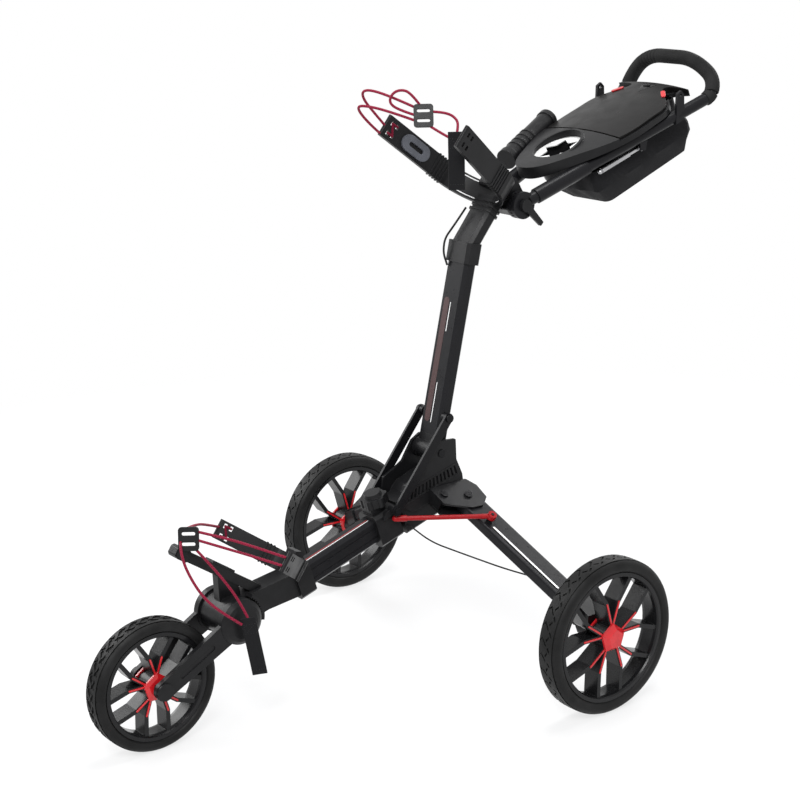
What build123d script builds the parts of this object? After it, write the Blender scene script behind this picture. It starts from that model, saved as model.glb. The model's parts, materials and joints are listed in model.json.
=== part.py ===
"""Three-wheel folding push cart for a golf bag, in millimetres, +Z up, front of the cart towards -Y.

Places are written with the rear axle at Y = 0 and the ground at Z = 0; AXLE_Y then sets the cart over
the middle of its own footprint.
"""
import os
from math import atan2, cos, degrees, pi, radians, sin, tan

from build123d import *

os.makedirs("parts", exist_ok=True)

# Overall layout
AXLE_Y = 127.25           # rear axle behind the middle of the footprint
WHEELBASE = 709.0         # front axle ahead of the rear axle
RUN_GAP = 0.4             # clearance between pieces that move past each other
PIN_GAP = 0.05            # radial clearance of a shaft in its bore

# Wheels
REAR_TYRE_R = 146.0
REAR_SEAT_R = 122.0       # tyre seat on the rim
FRONT_TYRE_R = 120.65
FRONT_SEAT_R = 100.0
TYRE_WIDTH = 48.0
RIM_RING = 10.0           # thickness of the rim's ring
RIM_WIDTH = 42.0
SPOKE_PAIRS = 5
SPOKE_WIDTH = 8.0
SPOKE_DEPTH = 34.0        # along the axle
SPOKE_KINK_AT = 0.6       # kink radius over the ring's inner radius
SPOKE_KINK = 12.5         # kink's angle off the middle of its pair, degrees
SPOKE_SPREAD = 22.0       # the same at the ring
SPOKE_PHASE = 88.0        # angle of the first pair
HUB_R = 28.0              # red pentagon, to its corners
HUB_BARREL_R = 20.0
HUB_SKIRT = 4.0
HUB_DOME = 9.0
HUB_FLAT = 3.0            # dome height on the side towards the leg
RAY_WIDTH = 3.4
RAY_RISE = 1.5
AXLE_R = 6.0
BEARING_R = 14.0
BEARING_W = 8.0
BEARING_X = 13.0          # bearing middle from the wheel middle

# Lower tube
TUBE_TILT = 17.0
TUBE_FRONT = (-406.0, 234.0)
NOSE_AHEAD = 303.0        # front axle ahead of the nose's seat on the tube
TUBE_START = -10.0        # from the nose's seat
TUBE_END = 360.0
TUBE_W = 34.0
TUBE_H = 50.0
TUBE_WALL = 3.0
TUBE_CHAMFER = 6.0
GROOVE = (4.0, 1.2)       # width and depth of the grooves in the tube's sides

# Mast and neck
HINGE = (-80.0, 419.0)
MAST_FOOT_AT = (-77.0, 419.0)
MAST_LEAN = 13.4          # back from upright
MAST_LENGTH = 394.0       # foot to the bend of the neck
MAST_START = 30.0
MAST_W = 58.0
MAST_D = 28.0
MAST_WALL = 2.4
MAST_CHAMFER = 6.0
FOOT_R = 20.0
BOLT_R = 5.0
BEND = (-0.309, -0.274)   # neck's bend from the end of the mast's axis
NECK_LEAN = 39.3
NECK_LENGTH = 104.0
NECK_WALL = 4.0
NECK_AT = (round(MAST_FOOT_AT[0] + MAST_LENGTH * sin(radians(MAST_LEAN)) + BEND[0], 3),
           round(MAST_FOOT_AT[1] + MAST_LENGTH * cos(radians(MAST_LEAN)) + BEND[1], 3))


def over_neck(*place):
    """Place on the cart of a point given from the neck's bend, with or without its X."""
    *side, y, z = place
    return (*side, NECK_AT[0] + y, NECK_AT[1] + z)



# Fold housing, links and collar
CHEEK_IN = 31.5
CHEEK_OUT = 37.0
CHEEK_OUTLINE = [(-45, 441), (-78, 444), (-98, 433), (-122, 397), (-137, 388), (-168, 374), (-175, 333),
                 (-150, 318), (-28, 352), (-30, 368), (-44, 400)]
NOTCHES = 14
NOTCH_DEPTH = 3.5
BAND_RISE = 1.2           # ridges above and below the notches
NOTCH_TOP = [(-164, 357), (-46, 389)]
NOTCH_FOOT = [(-168, 341), (-40, 372)]
HOUSING_START = 248.0     # along the lower tube
HOUSING_RISE = 9.0
LINK_IN = 39.5
LINK_OUT = 44.5
LINK_W = 19.0
LINK_TOP = (-66.0, 487.0)
LINK_FOOT = (-193.0, 330.5)
COLLAR_START = 190.0
COLLAR_END = 242.0
COLLAR_HALF = 27.0
COLLAR_RISE = 8.0
EAR_OUT = LINK_IN - 0.7
KNOB_AT = 216.0           # along the tube
KNOB_R = 27.0
KNOB_H = 25.0
KNOB_LOBES = 6

# Rear legs
LEG_PIVOT = (66.0, -46.0, 324.0)
LEG_SLOPE = 28.5          # down from level, going outwards
LEG_SWEEP = 8.1           # back from square
LEG_W = 50.0
LEG_T = 22.0
LEG_WALL = 2.0
LEG_LENGTH = 326.0
LEG_RIVETS = (44.0, 66.0)  # from the leg's end
LEG_BOLT_R = 5.0
BRACKET_T = 4.0
BRACKET_BOLT = (-17.0, -46.0)
ROD_R = 4.5
ROD_EYE_R = 6.0
ROD_EYE_HALF = 5.0
STUD_R = 3.0
ROD_IN = (34.5, -192.0, 314.0)
ROD_OUT = (139.0, -43.0, 311.8)
ROD_AXIS = (0.561, -0.0216, 0.8275)   # the rod's swing on the leg follows the collar about this line
AXLE_OUT = 52.364         # rear wheel centre outside the leg's end
BLOCK_IN = 52.0           # axle block's inner face, from the wheel centre
BLOCK_OUT = 25.5          # its outer face
BUTTON_R = 8.0
BUTTON_TRAVEL = 3.0

# Front fork
FORK_PIVOT = (-141.0, -27.0)   # from the nose's seat on the tube
DRUM_R = 38.0
DRUM_HALF = 33.5
NOSE_HALF = 28.0
FORK_IN = 34.0
ARM_IN = 36.0
ARM_OUT = 46.0
FORK_DISC_R = 42.0
FORK_FACE = 56.0
TRUNNION_R = 15.0
ARM_TOP = 46.0            # arm width at the disc
ARM_END = 34.0            # arm width at the axle
SECTOR = (44.5, 52.0)     # radii of the toothed sector behind the disc
SECTOR_TEETH = 9

# Bag cradles and base rest
LOWER_TILT = 36.4
LOWER_SEAT = (3.0, 27.0)  # from the nose's seat
LOWER_TIP = (111.0, 108.0)
LOWER_BOW = 58.0          # inner radius of the back
LOWER_HALF_ANGLE = 44.0
LOWER_H = 38.0
UPPER_TILT = 40.0
UPPER_SEAT = over_neck(66.0, 88.0)
UPPER_TIP = (112.0, 211.0)
UPPER_BOW = 86.0
UPPER_HALF_ANGLE = 66.0
UPPER_H = 44.0
CRADLE_T = 9.0
REST_W = 24.0
REST_T = 18.0
REST_FOOT = (-70.0, 1.0)  # both from the nose's seat
REST_TIP = (-244.0, 122.0)

# Handle and console
HANDLE_PIVOT = over_neck(98.0, 70.0)
YOKE_HALF = 36.0
HANDLE_TRUNNION_R = 12.0
KNUCKLE_IN = 38.0
KNUCKLE_OUT = 58.0
KNUCKLE_R = 26.0
KNUCKLE_TEETH = 24
ARM_ROOT = over_neck(48.0, 98.0, 70.0)
ARM_TIP = over_neck(114.0, 521.0, 235.0)
ARM_R = 12.0
ARM_SLEEVE_R = 15.0
ARM_SLEEVE = (36.0, 160.0)   # start and end of the thicker sleeve, from the pivot
ARM_CLEAR = 18.0          # tube starts this far from the pivot
ARM_WALL = 2.5
LOOP_SIDE = over_neck(116.0, 549.0, 268.0)
LOOP_TOP = over_neck(66.0, 542.0, 310.0)
LOOP_BENDS = [26.0, 44.0, 108.0]   # from the arm to the top
LOOP_R = 9.5
GRIP_R = 14.5
CONSOLE_TILT = 20.8
CONSOLE_AT = over_neck(159.0, 122.0)
CONSOLE_HALF = [(36, 4), (70, 60), (100, 125), (114, 200), (112, 250), (98, 300), (62, 352)]
CONSOLE_ENDS = (-12.0, 366.0)
CONSOLE_T = 10.0
CONSOLE_CROWN = 14.0
CROWN_R = 620.0
TUB = (165.0, 340.0, 66.0, 72.0, 44.0)   # front, rear, half widths there, depth
TUB_WALL = 3.0
CUP_AT = 85.0
CUP = (42.0, 50.0)        # half width and half length of the cup hole
CUP_DEPTH = 46.0          # below the sheet in its mouth
CUP_SHEET = 2.0           # underside of that sheet over the deck plane
STAR_POINTS = 6
STAR = (0.86, 0.52)       # points and hollows of the sheet's opening, over the cup's half sizes
HOOD_W = 9.0              # raised rim behind the cup
HOOD_H = 19.0             # its height over the deck plane, at the cup's rear
CUP_WALL = 2.6
LID_FRONT = 153.0
LID_INSET = 7.0
LID_HOLLOW = 6.5
LID_GAP = 0.5
UMBRELLA_FOOT = over_neck(-94.5, 185.0, 131.0)
UMBRELLA_TOP = over_neck(-135.0, 332.0, 194.0)
UMBRELLA_R = 21.0
UMBRELLA_BORE = 13.0
POUCH_WALL = 2.5
LEVER_PIVOT = over_neck(85.0, 373.0, 153.0)
LEVER_END = over_neck(78.0, 274.0, 116.0)
LEVER_PIN_R = 3.0

# Bungees
CORD_R = 2.5
CABLE_R = 2.0
CLIP_RIGHT = Vector(0.604, 0.797, 0)     # the clips stand across the view from the front left
CLIP_UP = Vector(-0.221, 0.167, 0.961)
CLIP = (36.0, 42.0, 8.0)
UPPER_CLIP = Vector(over_neck(0, -93, 251))
LOWER_CLIP = Vector(16, -627, 375)


def on_clip(at, right, up):
    return tuple(at + CLIP_RIGHT * right + CLIP_UP * up)


UPPER_FAR_A = [(-111, -79, 1021), (-113, -107, 1052), (-108, -134, 1079), (-99, -143, 1096), (-80, -134, 1098),
               (-42, -111, 1084), on_clip(UPPER_CLIP, -12, 14)]
UPPER_FAR_B = [(-111.5, -90, 1008), (-110, -125, 1036), (-103, -156, 1069), (-80, -144, 1070), (-45, -117, 1059),
               on_clip(UPPER_CLIP, -14, -9)]
UPPER_LOOP = [on_clip(UPPER_CLIP, -5, 18), (-14, -97, 1096), (-25, -112, 1101), (-34, -124, 1094),
              (-38, -128, 1078), (-30, -115, 1065), on_clip(UPPER_CLIP, -14, 1)]
UPPER_NEAR_A = [on_clip(UPPER_CLIP, 14, 7), (28, -49, 1059), (48, -40, 1048), (60, -47, 1034), (65, -56, 1020)]
UPPER_NEAR_B = [on_clip(UPPER_CLIP, 8, -17), (34, -56, 1017), (74, -42, 1003), (108, -66, 1005)]
LOWER_NEAR_A = [on_clip(LOWER_CLIP, 12, 13), (50, -573, 373), (82, -527, 352), (111, -485, 331)]
LOWER_NEAR_B = [on_clip(LOWER_CLIP, 14, -2), (52, -577, 356), (82, -534, 337), (111, -494.7, 318.6)]
LOWER_FAR = [on_clip(LOWER_CLIP, -8, 16), (-32, -584, 379), (-74, -534, 354), (-111, -487.6, 328)]
LOWER_LOOP_A = [on_clip(LOWER_CLIP, -14, -3), (25, -650, 363), (33, -646, 328), (50, -628, 280), (64, -600, 246),
                (74, -564, 216)]
LOWER_LOOP_B = [on_clip(LOWER_CLIP, 9, -15), (36, -606, 336), (52, -577, 290), (66, -558, 250), (77, -548, 216)]
UPPER_TAB = [over_neck(66, -71, 226), over_neck(66, -71, 120), 30.0]
LOWER_TAB = [(77, -552, 226), (77, -533, 112), 27.0]
TAB_T = 3.0
NECK_CABLE = [(-22, 36, 868), (-27, 12, 838), (-28, -12, 814), (-27, -17, 788), (-22, -11.8, 764)]
LEG_CABLE = [(32.75, -159, 293), (76, -140, 266), (130, -95, 243), (190, -55, 224), (245, -20, 212.4)]


def lean_plane(y, z, angle):
    """Plane at a point of the midplane, Z along a direction `angle` above level, towards the rear."""
    a = radians(angle)
    return Plane(origin=(0, y, z), x_dir=(1, 0, 0), z_dir=(0, cos(a), sin(a)))


def deck_plane(at, tilt):
    """Plane whose Y climbs towards the rear at `tilt`, with Z square to it."""
    a = radians(tilt)
    return Plane(origin=(0, at[0], at[1]), x_dir=(1, 0, 0), z_dir=(0, -sin(a), cos(a)))


def cradle_plane(seat, tilt):
    """Plane whose Y climbs towards the front at `tilt`; Z is the bag's axis."""
    a = radians(tilt)
    return Plane(origin=(0, seat[0], seat[1]), x_dir=(-1, 0, 0), z_dir=(0, sin(a), cos(a)))


def slab(points, x0, x1, round_by=0.0):
    """Side outline of (y, z) points, from x0 to x1."""
    outline = make_face(Polyline(*points, close=True))
    if round_by:
        outline = fillet(outline.vertices(), round_by)
    return extrude(Plane.YZ.offset(x0) * outline, x1 - x0)


def disc(y, z, radius, x0, x1):
    """Round bar along X."""
    return extrude(Plane.YZ.offset(x0) * Pos(y, z) * Circle(radius), x1 - x0)


def bar(start, end, radius):
    """Round bar between two points."""
    run = Vector(*end) - Vector(*start)
    plane = Plane(origin=start, z_dir=run)
    return extrude(plane * Circle(radius), run.length)


def both_sides(solid):
    """A left piece and its mirror image."""
    return [solid, mirror(solid, about=Plane.YZ)]


def chamfered(width, height, cut):
    return chamfer(Rectangle(width, height).vertices(), cut)


def polar(radius, angle):
    a = radians(angle)
    return (radius * cos(a), radius * sin(a))


def strip(start, end, width):
    """Flat bar with round ends between two points of a sketch."""
    run = Vector(end[0] - start[0], end[1] - start[1])
    middle = Pos((start[0] + end[0]) / 2, (start[1] + end[1]) / 2)
    return middle * Rot(0, 0, degrees(atan2(run.Y, run.X))) * SlotCenterToCenter(run.length, width)


# Wheels, built about the X axis

def tyre(radius, seat):
    half = TYRE_WIDTH / 2
    section = make_face(Polyline(
        (-half + 5, seat), (half - 5, seat), (half, seat + 5), (half, radius - 8), (half - 9, radius),
        (-half + 9, radius), (-half, radius - 8), (-half, seat + 5), close=True))
    shoulder = section.vertices().filter_by(lambda v: v.Y > radius - 10)
    return revolve(fillet(shoulder, 4), Axis.X)


def spoke_path(inner, middle, side):
    return [polar(HUB_BARREL_R - 2, middle), polar(SPOKE_KINK_AT * inner, middle + side * SPOKE_KINK),
            polar(inner + 2, middle + side * SPOKE_SPREAD)]


def pair_angles():
    return [SPOKE_PHASE + pair * 360 / SPOKE_PAIRS for pair in range(SPOKE_PAIRS)]


def rim(seat):
    """Ring, barrel and ten deep, kinked blades, in pairs from the corners of the hub."""
    inner = seat - RIM_RING
    half = RIM_WIDTH / 2
    hoop = make_face(Polyline((-half, seat), (half, seat), (half, inner + 3), (half - 3, inner + 1),
                              (half - 9, inner), (-half + 9, inner), (-half + 3, inner + 1), (-half, inner + 3),
                              close=True))
    body = revolve(hoop, Axis.X) + disc(0, 0, HUB_BARREL_R, -SPOKE_DEPTH / 2, SPOKE_DEPTH / 2)
    blades = None
    for middle in pair_angles():
        for side in (-1, 1):
            path = spoke_path(inner, middle, side)
            blade = strip(path[0], path[1], SPOKE_WIDTH) + strip(path[1], path[2], SPOKE_WIDTH)
            blades = blade if blades is None else blades + blade
    body += extrude(Plane.YZ.offset(-SPOKE_DEPTH / 2) * blades, SPOKE_DEPTH)
    body -= disc(0, 0, AXLE_R + 3, -RIM_WIDTH, RIM_WIDTH)
    for side in (-1, 1):
        shoulder = side * (BEARING_X - BEARING_W / 2)
        body -= disc(0, 0, BEARING_R + PIN_GAP, shoulder - side * RUN_GAP, side * RIM_WIDTH)
    return body


def hub_cap(seat, side, dome, closed):
    """Red domed pentagon with a thin ray along each blade, on one face of the wheel."""
    face = side * SPOKE_DEPTH / 2
    plate = Rot(0, 0, SPOKE_PHASE) * RegularPolygon(HUB_R, SPOKE_PAIRS)
    small = Rot(0, 0, SPOKE_PHASE) * RegularPolygon(HUB_R * 0.66, SPOKE_PAIRS)
    cap = extrude(Plane.YZ.offset(face) * plate, side * HUB_SKIRT)
    cap += loft([Plane.YZ.offset(face + side * HUB_SKIRT) * plate,
                 Plane.YZ.offset(face + side * (HUB_SKIRT + dome)) * small])
    rays = None
    for middle in pair_angles():
        for turn in (-1, 1):
            path = spoke_path(seat - RIM_RING, middle, turn)
            ray = strip(path[0], path[1], RAY_WIDTH)
            rays = ray if rays is None else rays + ray
    cap += extrude(Plane.YZ.offset(face) * rays, side * RAY_RISE)
    depth = 2 * RIM_WIDTH if not closed else SPOKE_DEPTH / 2 + HUB_SKIRT + 3
    return cap - disc(0, 0, AXLE_R + 3, 0, side * depth)


def hub(seat, outer_side):
    """Both red caps; outer_side 0 gives two flat ones for a wheel held between two arms."""
    caps = []
    for side in (-1, 1):
        outer = side == outer_side
        caps.append(hub_cap(seat, side, HUB_DOME if outer else HUB_FLAT, outer))
    return caps


def axle_bearings():
    rings = []
    for side in (-1, 1):
        x0 = side * BEARING_X - BEARING_W / 2
        rings.append(disc(0, 0, BEARING_R, x0, x0 + BEARING_W) - disc(0, 0, AXLE_R, x0, x0 + BEARING_W))
    return rings


def rear_wheel_place(side):
    return Pos(side * TRACK_HALF, 0, REAR_TYRE_R)


FRONT_WHEEL_PLACE = Pos(0, -WHEELBASE, FRONT_TYRE_R)


# Lower tube, fold housing, collar

TUBE_PLANE = lean_plane(*TUBE_FRONT, TUBE_TILT)


def tube_point(along, up):
    """(y, z) of a place along the lower tube and square to it."""
    a = radians(TUBE_TILT)
    return (TUBE_FRONT[0] + along * cos(a) - up * sin(a), TUBE_FRONT[1] + along * sin(a) + up * cos(a))


def tube_section(grow=0.0):
    return chamfered(TUBE_W + 2 * grow, TUBE_H + 2 * grow, TUBE_CHAMFER)


NOSE_S = (NOSE_AHEAD - WHEELBASE - TUBE_FRONT[0]) / cos(radians(TUBE_TILT))


def from_nose(place):
    """(y, z) of a place given from the nose's seat on the tube."""
    seat = tube_point(NOSE_S, 0)
    return (seat[0] + place[0], seat[1] + place[1])


def along_tube(section, start, end):
    return extrude(TUBE_PLANE.offset(start) * section, end - start)


def tube_bar(grow=0.0):
    return along_tube(tube_section(grow), NOSE_S + TUBE_START, TUBE_END)


def lower_tube():
    section = tube_section()
    for side in (-1, 1):
        for row in (-9, 9):
            section -= Pos(side * TUBE_W / 2, row) * Rectangle(2 * GROOVE[1], GROOVE[0])
    section -= chamfered(TUBE_W - 2 * TUBE_WALL, TUBE_H - 2 * TUBE_WALL, TUBE_CHAMFER - 2)
    return along_tube(section, NOSE_S + TUBE_START, TUBE_END)


def hinge_housing():
    """Moulding round the rear of the tube, its floor under the mast and the two notched cheeks."""
    body = along_tube(chamfered(2 * CHEEK_IN, TUBE_H + 2 * HOUSING_RISE, 5), HOUSING_START, TUBE_END + 6)
    floor = slab([tube_point(HOUSING_START + 24, 30), tube_point(TUBE_END + 4, 30),
                  tube_point(TUBE_END - 4, 46), tube_point(HOUSING_START + 44, 44)], -CHEEK_IN, CHEEK_IN)
    body += floor
    for cheek in both_sides(hinge_cheek()):
        body += cheek
    return body - along_tube(tube_section(), HOUSING_START - 1, TUBE_END)


def hinge_cheek():
    """Left cheek: the ear of the mast's hinge and a band of upright notches along the tube."""
    plate = slab(CHEEK_OUTLINE, CHEEK_IN, CHEEK_OUT, 3)
    pitch = [(NOTCH_TOP[1][i] - NOTCH_TOP[0][i]) / NOTCHES for i in (0, 1)]
    pitch_low = [(NOTCH_FOOT[1][i] - NOTCH_FOOT[0][i]) / NOTCHES for i in (0, 1)]
    for index in range(NOTCHES):
        corners = []
        for start, step, share in ((NOTCH_TOP, pitch, 0.25), (NOTCH_TOP, pitch, 0.75),
                                   (NOTCH_FOOT, pitch_low, 0.75), (NOTCH_FOOT, pitch_low, 0.25)):
            corners.append((start[0][0] + step[0] * (index + share), start[0][1] + step[1] * (index + share)))
        plate -= slab(corners, CHEEK_OUT - NOTCH_DEPTH, CHEEK_OUT + 1)
    for (y0, z0), (y1, z1), lift in ((*NOTCH_TOP, 2), (*NOTCH_FOOT, -4)):
        plate += slab([(y0, z0 + lift), (y1, z1 + lift), (y1, z1 + lift + 2.5), (y0, z0 + lift + 2.5)],
                      CHEEK_OUT - 1, CHEEK_OUT + BAND_RISE)
    return plate - leg_bracket() - disc(*HINGE, BOLT_R, 0, 2 * CHEEK_OUT)


def pivot_bolts():
    """Hinge bolt of the mast, and the pivot and bracket bolts of the legs."""
    bolt = disc(*HINGE, BOLT_R, -CHEEK_OUT, CHEEK_OUT)
    for side in (-1, 1):
        bolt += disc(*HINGE, 8, side * CHEEK_OUT, side * (CHEEK_OUT + 2))
    bolts = [bolt]
    for place in ((0, 0), BRACKET_BOLT):
        shank = LEG_PLANE * Pos(*place, 0) * Cylinder(LEG_BOLT_R, 2 * BRACKET_OUT)
        for end in (-1, 1):
            shank += LEG_PLANE * Pos(*place, end * (BRACKET_OUT + 1.5)) * Cylinder(8, 3)
        bolts += both_sides(shank)
    return bolts


def fold_links():
    """Two long flat links from the sides of the mast down to the collar."""
    bar_plan = strip(LINK_TOP, LINK_FOOT, LINK_W)
    link = extrude(Plane.YZ.offset(LINK_IN) * bar_plan, LINK_OUT - LINK_IN)
    link += disc(*LINK_FOOT, 6.5, LINK_OUT, LINK_OUT + 3)
    link -= disc(*LINK_TOP, BOLT_R + PIN_GAP, 0, 2 * LINK_OUT)
    return both_sides(link)


def link_bolts():
    """Shoulder bolts in the sides of the mast for the links' upper ends."""
    bolt = disc(*LINK_TOP, BOLT_R, MAST_W / 2 - 8, LINK_OUT + RUN_GAP)
    bolt += disc(*LINK_TOP, 8.5, MAST_W / 2, LINK_IN - RUN_GAP)
    bolt += disc(*LINK_TOP, 8, LINK_OUT + RUN_GAP, LINK_OUT + RUN_GAP + 3)
    return both_sides(bolt)


def fold_collar():
    """Moulding that slides on the lower tube, with ears for the links and eyes for the red rods."""
    body = along_tube(chamfered(2 * COLLAR_HALF, TUBE_H + 2 * COLLAR_RISE, 6), COLLAR_START, COLLAR_END)
    body += along_tube(Pos(0, -TUBE_H / 2 - COLLAR_RISE - 5) * Rectangle(30, 12), COLLAR_START + 4, COLLAR_END - 16)
    ear = disc(*LINK_FOOT, 9.5, COLLAR_HALF - 3, EAR_OUT)
    ear += slab([tube_point(COLLAR_START + 14, 22), tube_point(COLLAR_END - 2, 22), tube_point(COLLAR_END - 2, 34),
                 tube_point(COLLAR_START + 24, 34)], COLLAR_HALF - 3, COLLAR_HALF + 6)
    for piece in both_sides(ear):
        body += piece
    return body - along_tube(tube_section(RUN_GAP), COLLAR_START - 1, COLLAR_END + 1)


def lock_knob():
    """Lobed turn knob on the collar, with a short grey lever."""
    y, z = tube_point(KNOB_AT, TUBE_H / 2 + COLLAR_RISE + 11 + RUN_GAP)
    deck = lean_plane(y, z, TUBE_TILT + 90)
    plan = Circle(KNOB_R - 4)
    for lobe in range(KNOB_LOBES):
        plan += Rot(0, 0, lobe * 360 / KNOB_LOBES) * Pos(KNOB_R - 7, 0) * Circle(7)
    knob = extrude(deck * plan, KNOB_H - 7)
    knob += extrude(deck.offset(KNOB_H - 7) * Circle(KNOB_R - 9), 7, taper=20)
    return knob


def foot_plane(along=0.0):
    a = radians(90 - MAST_LEAN)
    return lean_plane(MAST_FOOT_AT[0] + along * cos(a), MAST_FOOT_AT[1] + along * sin(a), 90 - MAST_LEAN)


def mast_section(grow=0.0):
    return chamfered(MAST_W + 2 * grow, MAST_D + 2 * grow, MAST_CHAMFER)


def mast_tube():
    section = mast_section() - chamfered(MAST_W - 2 * MAST_WALL, MAST_D - 2 * MAST_WALL, MAST_CHAMFER - 1)
    tube = extrude(foot_plane(MAST_START) * section, MAST_LENGTH - MAST_START)
    for side in (-1, 1):
        tube -= disc(*LINK_TOP, BOLT_R, side * MAST_W / 4, side * MAST_W)
    return tube


def mast_foot():
    """Moulded foot: the hinge barrel and a plug in the end of the mast."""
    barrel = disc(*HINGE, FOOT_R, -MAST_W / 2, MAST_W / 2)
    shoulder = extrude(foot_plane(4) * mast_section(), MAST_START - 4)
    plug = extrude(foot_plane(MAST_START) * chamfered(MAST_W - 2 * MAST_WALL, MAST_D - 2 * MAST_WALL, 5), 30)
    return barrel + shoulder + plug - disc(*HINGE, BOLT_R + PIN_GAP, -MAST_W, MAST_W)


def neck():
    """Moulded elbow on the mast's top, ribbed, with the deck that the upper cradle stands on."""
    socket = extrude(foot_plane(MAST_LENGTH - 34) * mast_section(NECK_WALL), 40)
    socket -= extrude(foot_plane(MAST_START) * mast_section(), MAST_LENGTH - MAST_START)
    a = radians(90 - NECK_LEAN)
    stem = extrude(lean_plane(NECK_AT[0] - 6 * cos(a), NECK_AT[1] - 6 * sin(a), 90 - NECK_LEAN)
                   * chamfered(MAST_W - 2, MAST_D, MAST_CHAMFER), NECK_LENGTH + 6)
    stem -= extrude(foot_plane(MAST_START) * mast_section(), MAST_LENGTH - MAST_START)
    body = socket + stem
    for rib in (70, 80, 90):
        body += extrude(lean_plane(NECK_AT[0] + rib * cos(a), NECK_AT[1] + rib * sin(a), 90 - NECK_LEAN)
                        * chamfered(MAST_W + 3, MAST_D + 5, MAST_CHAMFER), 4)
    return body


def yoke():
    """Block behind the upper cradle with the trunnions that the handle tilts on."""
    block = slab([(88, 864), (110, 848), (134, 858), (136, 880), (112, 922), (92, 926), (78, 908), (98, 884)],
                 -YOKE_HALF, YOKE_HALF, 5)
    block += disc(*HANDLE_PIVOT, HANDLE_TRUNNION_R, -KNUCKLE_OUT + 6, KNUCKLE_OUT - 6)
    return block


# Bag cradles

def cradle_plan(bow, half_angle, tip):
    """Bow-backed outline with two straight wings, in the cradle's own plane."""
    ring = Pos(0, bow) * (Circle(bow + CRADLE_T) - Circle(bow))
    reach = 3 * bow
    wedge = [(0, bow), (-reach * sin(radians(half_angle)), bow - reach * cos(radians(half_angle))), (0, -reach),
             (reach * sin(radians(half_angle)), bow - reach * cos(radians(half_angle)))]
    plan = ring & make_face(Polyline(*wedge, close=True))
    middle = bow + CRADLE_T / 2
    root = (middle * sin(radians(half_angle)), bow - middle * cos(radians(half_angle)))
    for side in (-1, 1):
        plan += strip((side * root[0], root[1]), (side * tip[0], tip[1]), CRADLE_T)
    return plan, root


def wing_plane(plane, root, tip, side):
    """Plane on the middle of a wing: X along the wing, Z out of its inner face."""
    start = plane.from_local_coords((side * root[0], root[1], 0))
    end = plane.from_local_coords((side * tip[0], tip[1], 0))
    run = end - start
    across = run.cross(plane.z_dir)
    return Plane(origin=start, x_dir=run, z_dir=across), run.length


def cradle(seat, tilt, bow, half_angle, tip, height, hinge_ribs):
    plane = cradle_plane(seat, tilt)
    plan, root = cradle_plan(bow, half_angle, tip)
    body = extrude(plane.offset(-height / 2) * plan, height)
    for side in (-1, 1):
        wing, length = wing_plane(plane, root, tip, side)
        for at in (9, 21):
            for row in (-10, 10):
                body -= wing * Pos(length - at, row, 0) * Box(5.6, 9, 4 * CRADLE_T)
        for index in range(hinge_ribs):
            body += wing * Pos(10 + 7 * index, 0, 0) * Box(3, height + 3, CRADLE_T + 4)
    return body


def lower_cradle(cords):
    body = cradle(from_nose(LOWER_SEAT), LOWER_TILT, LOWER_BOW, LOWER_HALF_ANGLE, LOWER_TIP, LOWER_H, 3)
    return body - nose_core() - tube_bar() - cords


def upper_cradle(cords):
    body = cradle(UPPER_SEAT, UPPER_TILT, UPPER_BOW, UPPER_HALF_ANGLE, UPPER_TIP, UPPER_H, 5)
    return body - neck() - yoke() - cords


def upper_pads():
    """Oval pads with a slot, on the inner faces of the upper wings."""
    plane = cradle_plane(UPPER_SEAT, UPPER_TILT)
    root = cradle_plan(UPPER_BOW, UPPER_HALF_ANGLE, UPPER_TIP)[1]
    pads = []
    for side in (-1, 1):
        wing, length = wing_plane(plane, root, UPPER_TIP, side)
        lift = CRADLE_T / 2 * (1 if wing.z_dir.X * side > 0 else -1)
        pad = Pos(length - 74, 0) * SlotCenterToCenter(34, 32)
        pad -= Pos(length - 74, 0) * SlotCenterToCenter(26, 9)
        pads.append(extrude(wing.offset(lift) * pad, 5 if lift > 0 else -5))
    return pads


# Nose, base rest and front fork

def nose_core():
    """Solid outline of the nose: socket on the tube's front, body, pivot drum and rest pedestal."""
    body = along_tube(chamfered(2 * NOSE_HALF, TUBE_H + 12, 6), NOSE_S - 4, NOSE_S + 30)
    y, z = from_nose(FORK_PIVOT)
    body += slab([tube_point(NOSE_S + 2, 24), tube_point(NOSE_S + 2, -24), (y + 74, z - 4), (y + 44, z - 12),
                  (y + 14, z - 32), (y - 4, z + 30), (y + 40, z + 36)], -NOSE_HALF + 6, NOSE_HALF - 6)
    body += disc(y, z, DRUM_R, -DRUM_HALF, DRUM_HALF)
    body += slab([(y - 20, z + 20), (y + 26, z + 20), (y + 20, z + 60), (y - 22, z + 90)], -9, 9)
    body += slab([tube_point(NOSE_S + s, up) for s, up in ((-4, 30), (30, 30), (30, 52), (20, 58))], -15, 15)
    return body


def nose_housing():
    """Nose with the bored socket, the trunnions of the fork and a toothed sector behind each disc."""
    body = nose_core() - tube_bar()
    y, z = from_nose(FORK_PIVOT)
    body += disc(y, z, TRUNNION_R, -ARM_OUT, ARM_OUT)
    ring = Circle(SECTOR[1]) - Circle(SECTOR[0])
    wedge = [(0, 0), polar(90, -12), polar(90, 22), polar(90, 56)]
    teeth = ring & make_face(Polyline(*wedge, close=True))
    for tooth in range(SECTOR_TEETH):
        teeth -= Rot(0, 0, -8 + tooth * 60 / (SECTOR_TEETH - 1)) * Pos(SECTOR[0], 0) * Rectangle(5, 2.6)
    for side in (-1, 1):
        body += extrude(Plane.YZ.offset(side * (NOSE_HALF - 8)) * Pos(y, z) * teeth, side * (ARM_OUT - NOSE_HALF + 4))
    return body - base_rest_bar()


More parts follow.
